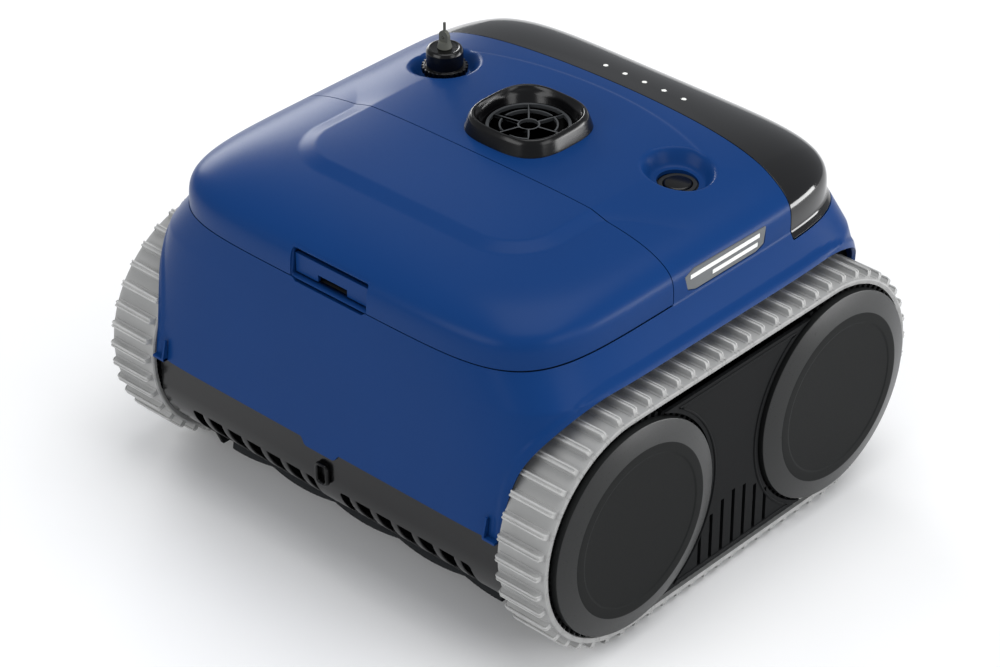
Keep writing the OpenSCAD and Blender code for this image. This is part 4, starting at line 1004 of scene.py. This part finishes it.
# %% [markdown]
# ## Dressing the smaller parts
# The rest of the machine keeps its CAD form. A dressed copy merges the flat facets, takes a small
# radius on every hard edge, and shades the curved faces smoothly, which is how a moulded or
# turned part differs from a drawing of it.

# %% Dressed copies
def dress(name, edge, angle=34, steps=2):
    source = frame["nodes"][name]
    mesh = source.data.copy()
    work = bmesh.new()
    work.from_mesh(mesh)
    bmesh.ops.remove_doubles(work, verts=work.verts, dist=0.00001)
    bmesh.ops.dissolve_limit(work, angle_limit=math.radians(1.0), verts=work.verts, edges=work.edges)
    work.to_mesh(mesh)
    work.free()
    mesh.shade_smooth()
    mesh.set_sharp_from_angle(angle=math.radians(angle))
    obj = bpy.data.objects.new(name + "_dressed", mesh)
    bpy.context.scene.collection.objects.link(obj)
    rim = obj.modifiers.new("rim", "BEVEL")
    rim.width, rim.segments, rim.limit_method = edge * MM, steps, "ANGLE"
    rim.angle_limit = math.radians(angle)
    rim.harden_normals = True
    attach(obj, body_of[name])
    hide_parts(name)
    return obj


made = {"indicator_lenses", "front_skirt", "brush_roller", "upper_shell", "filter_lid", "rear_band",
        "outlet_bezel", "port_cap", "track_left", "track_right"}
made |= {f"wheel_cover_{place}_{hand}" for place in ("front", "rear") for hand in ("left", "right")}
SMALL_EDGE = 0.3
EDGE_OF = {"side_panel_left": 0.8, "side_panel_right": 0.8, "rear_skirt": 0.6, "lid_latch": 0.8,
           "outlet_grille": 0.35, "base_chassis": 0.8, "battery_pack": 1.5, "dry_box": 1.2,
           "tether_pin": 0.25, "light_bars_left": 0.5, "light_bars_right": 0.5, "power_button": 0.8,
           "filter_basket": 0.5}
for name in sorted(set(slot_of) - made):
    dressed = dress(name, EDGE_OF.get(name, SMALL_EDGE))
    if name == "outlet_grille":
        # the grey of the ribs is painted highlight on top of their real gloss
        dressed.data.materials[0] = grille_gloss_and_painted_highlight
print("dressed", len(slot_of) - len(made))

# %% [markdown]
# ## Camera
# The cleaner is shown from its front right corner and from above. A long lens from over two
# metres away keeps the perspective calm. Depth of field stays off, so every view is sharp.

# %% Camera
camera = bpy.data.cameras.new("camera")
camera.lens, camera.sensor_width = 118.15, 36.0
camera_object = bpy.data.objects.new("camera", camera)
camera_object.location = (1.3778, -1.5025, 1.4414)
camera_object.rotation_euler = (math.radians(56.73), 0, math.radians(42.70))
bpy.context.scene.collection.objects.link(camera_object)
bpy.context.scene.camera = camera_object
camera.dof.use_dof = False
print("camera at", [round(v, 3) for v in camera_object.location], "m, lens", camera.lens, "mm")

# %% [markdown]
# ## Light and floor
# Glossy plastic shows its form through what it mirrors, so each lamp is a large soft rectangle.
# One behind the left shoulder draws the rim, one low at the back right lights the covers, and a
# big one overhead gives the soft sheen of the crown. The floor is plain and pale. The standard
# view transform keeps the deep blue and the white floor as they were chosen.

# %% Light and floor
def soft_light(name, place, aim, size, power):
    light = bpy.data.lights.new(name, "AREA")
    light.shape, light.size, light.size_y, light.energy = "RECTANGLE", size[0], size[1], power
    lamp = bpy.data.objects.new(name, light)
    lamp.location = place
    lamp.rotation_euler = (Vector(aim) - lamp.location).to_track_quat("-Z", "Y").to_euler()
    bpy.context.scene.collection.objects.link(lamp)
    print(name, power, "W")


soft_light("rim_left", (-2.5, 1.2, 0.9), (0, 0, 0.2), (1.5, 0.9), 34)
soft_light("back_right", (2.1, 2.1, 0.34), (0, 0, 0.15), (2.0, 0.62), 44)
soft_light("overhead", (0.3, 0.3, 2.4), (0, 0, 0.2), (2.0, 2.0), 36)
soft_light("front_fill", (-0.4, -2.6, 1.3), (0, 0, 0.15), (2.0, 1.2), 26)
soft_light("right_side", (2.6, 0.3, 1.1), (0, 0, 0.15), (1.2, 1.2), 14)
world = bpy.data.worlds.new("studio")
bpy.context.scene.world = world
world.use_nodes = True
world.node_tree.nodes["Background"].inputs["Color"].default_value = linear("#e6e9ee")
world.node_tree.nodes["Background"].inputs["Strength"].default_value = 0.5
bpy.context.scene.view_settings.view_transform = "Standard"
FLOOR_HALF = 4.0
mesh = bpy.data.meshes.new("floor")
mesh.from_pydata([(x * FLOOR_HALF, y * FLOOR_HALF, 0) for x, y in ((-1, -1), (1, -1), (1, 1), (-1, 1))], [],
                 [(0, 1, 2, 3)])
floor = bpy.data.objects.new("floor", mesh)
bpy.context.scene.collection.objects.link(floor)
mesh.materials.append(moulded("Matt_studio_floor", "#f4f4f4", 0.75, 4.0, 0.02, tone=0.01))
print("floor", 2 * FLOOR_HALF, "m square")
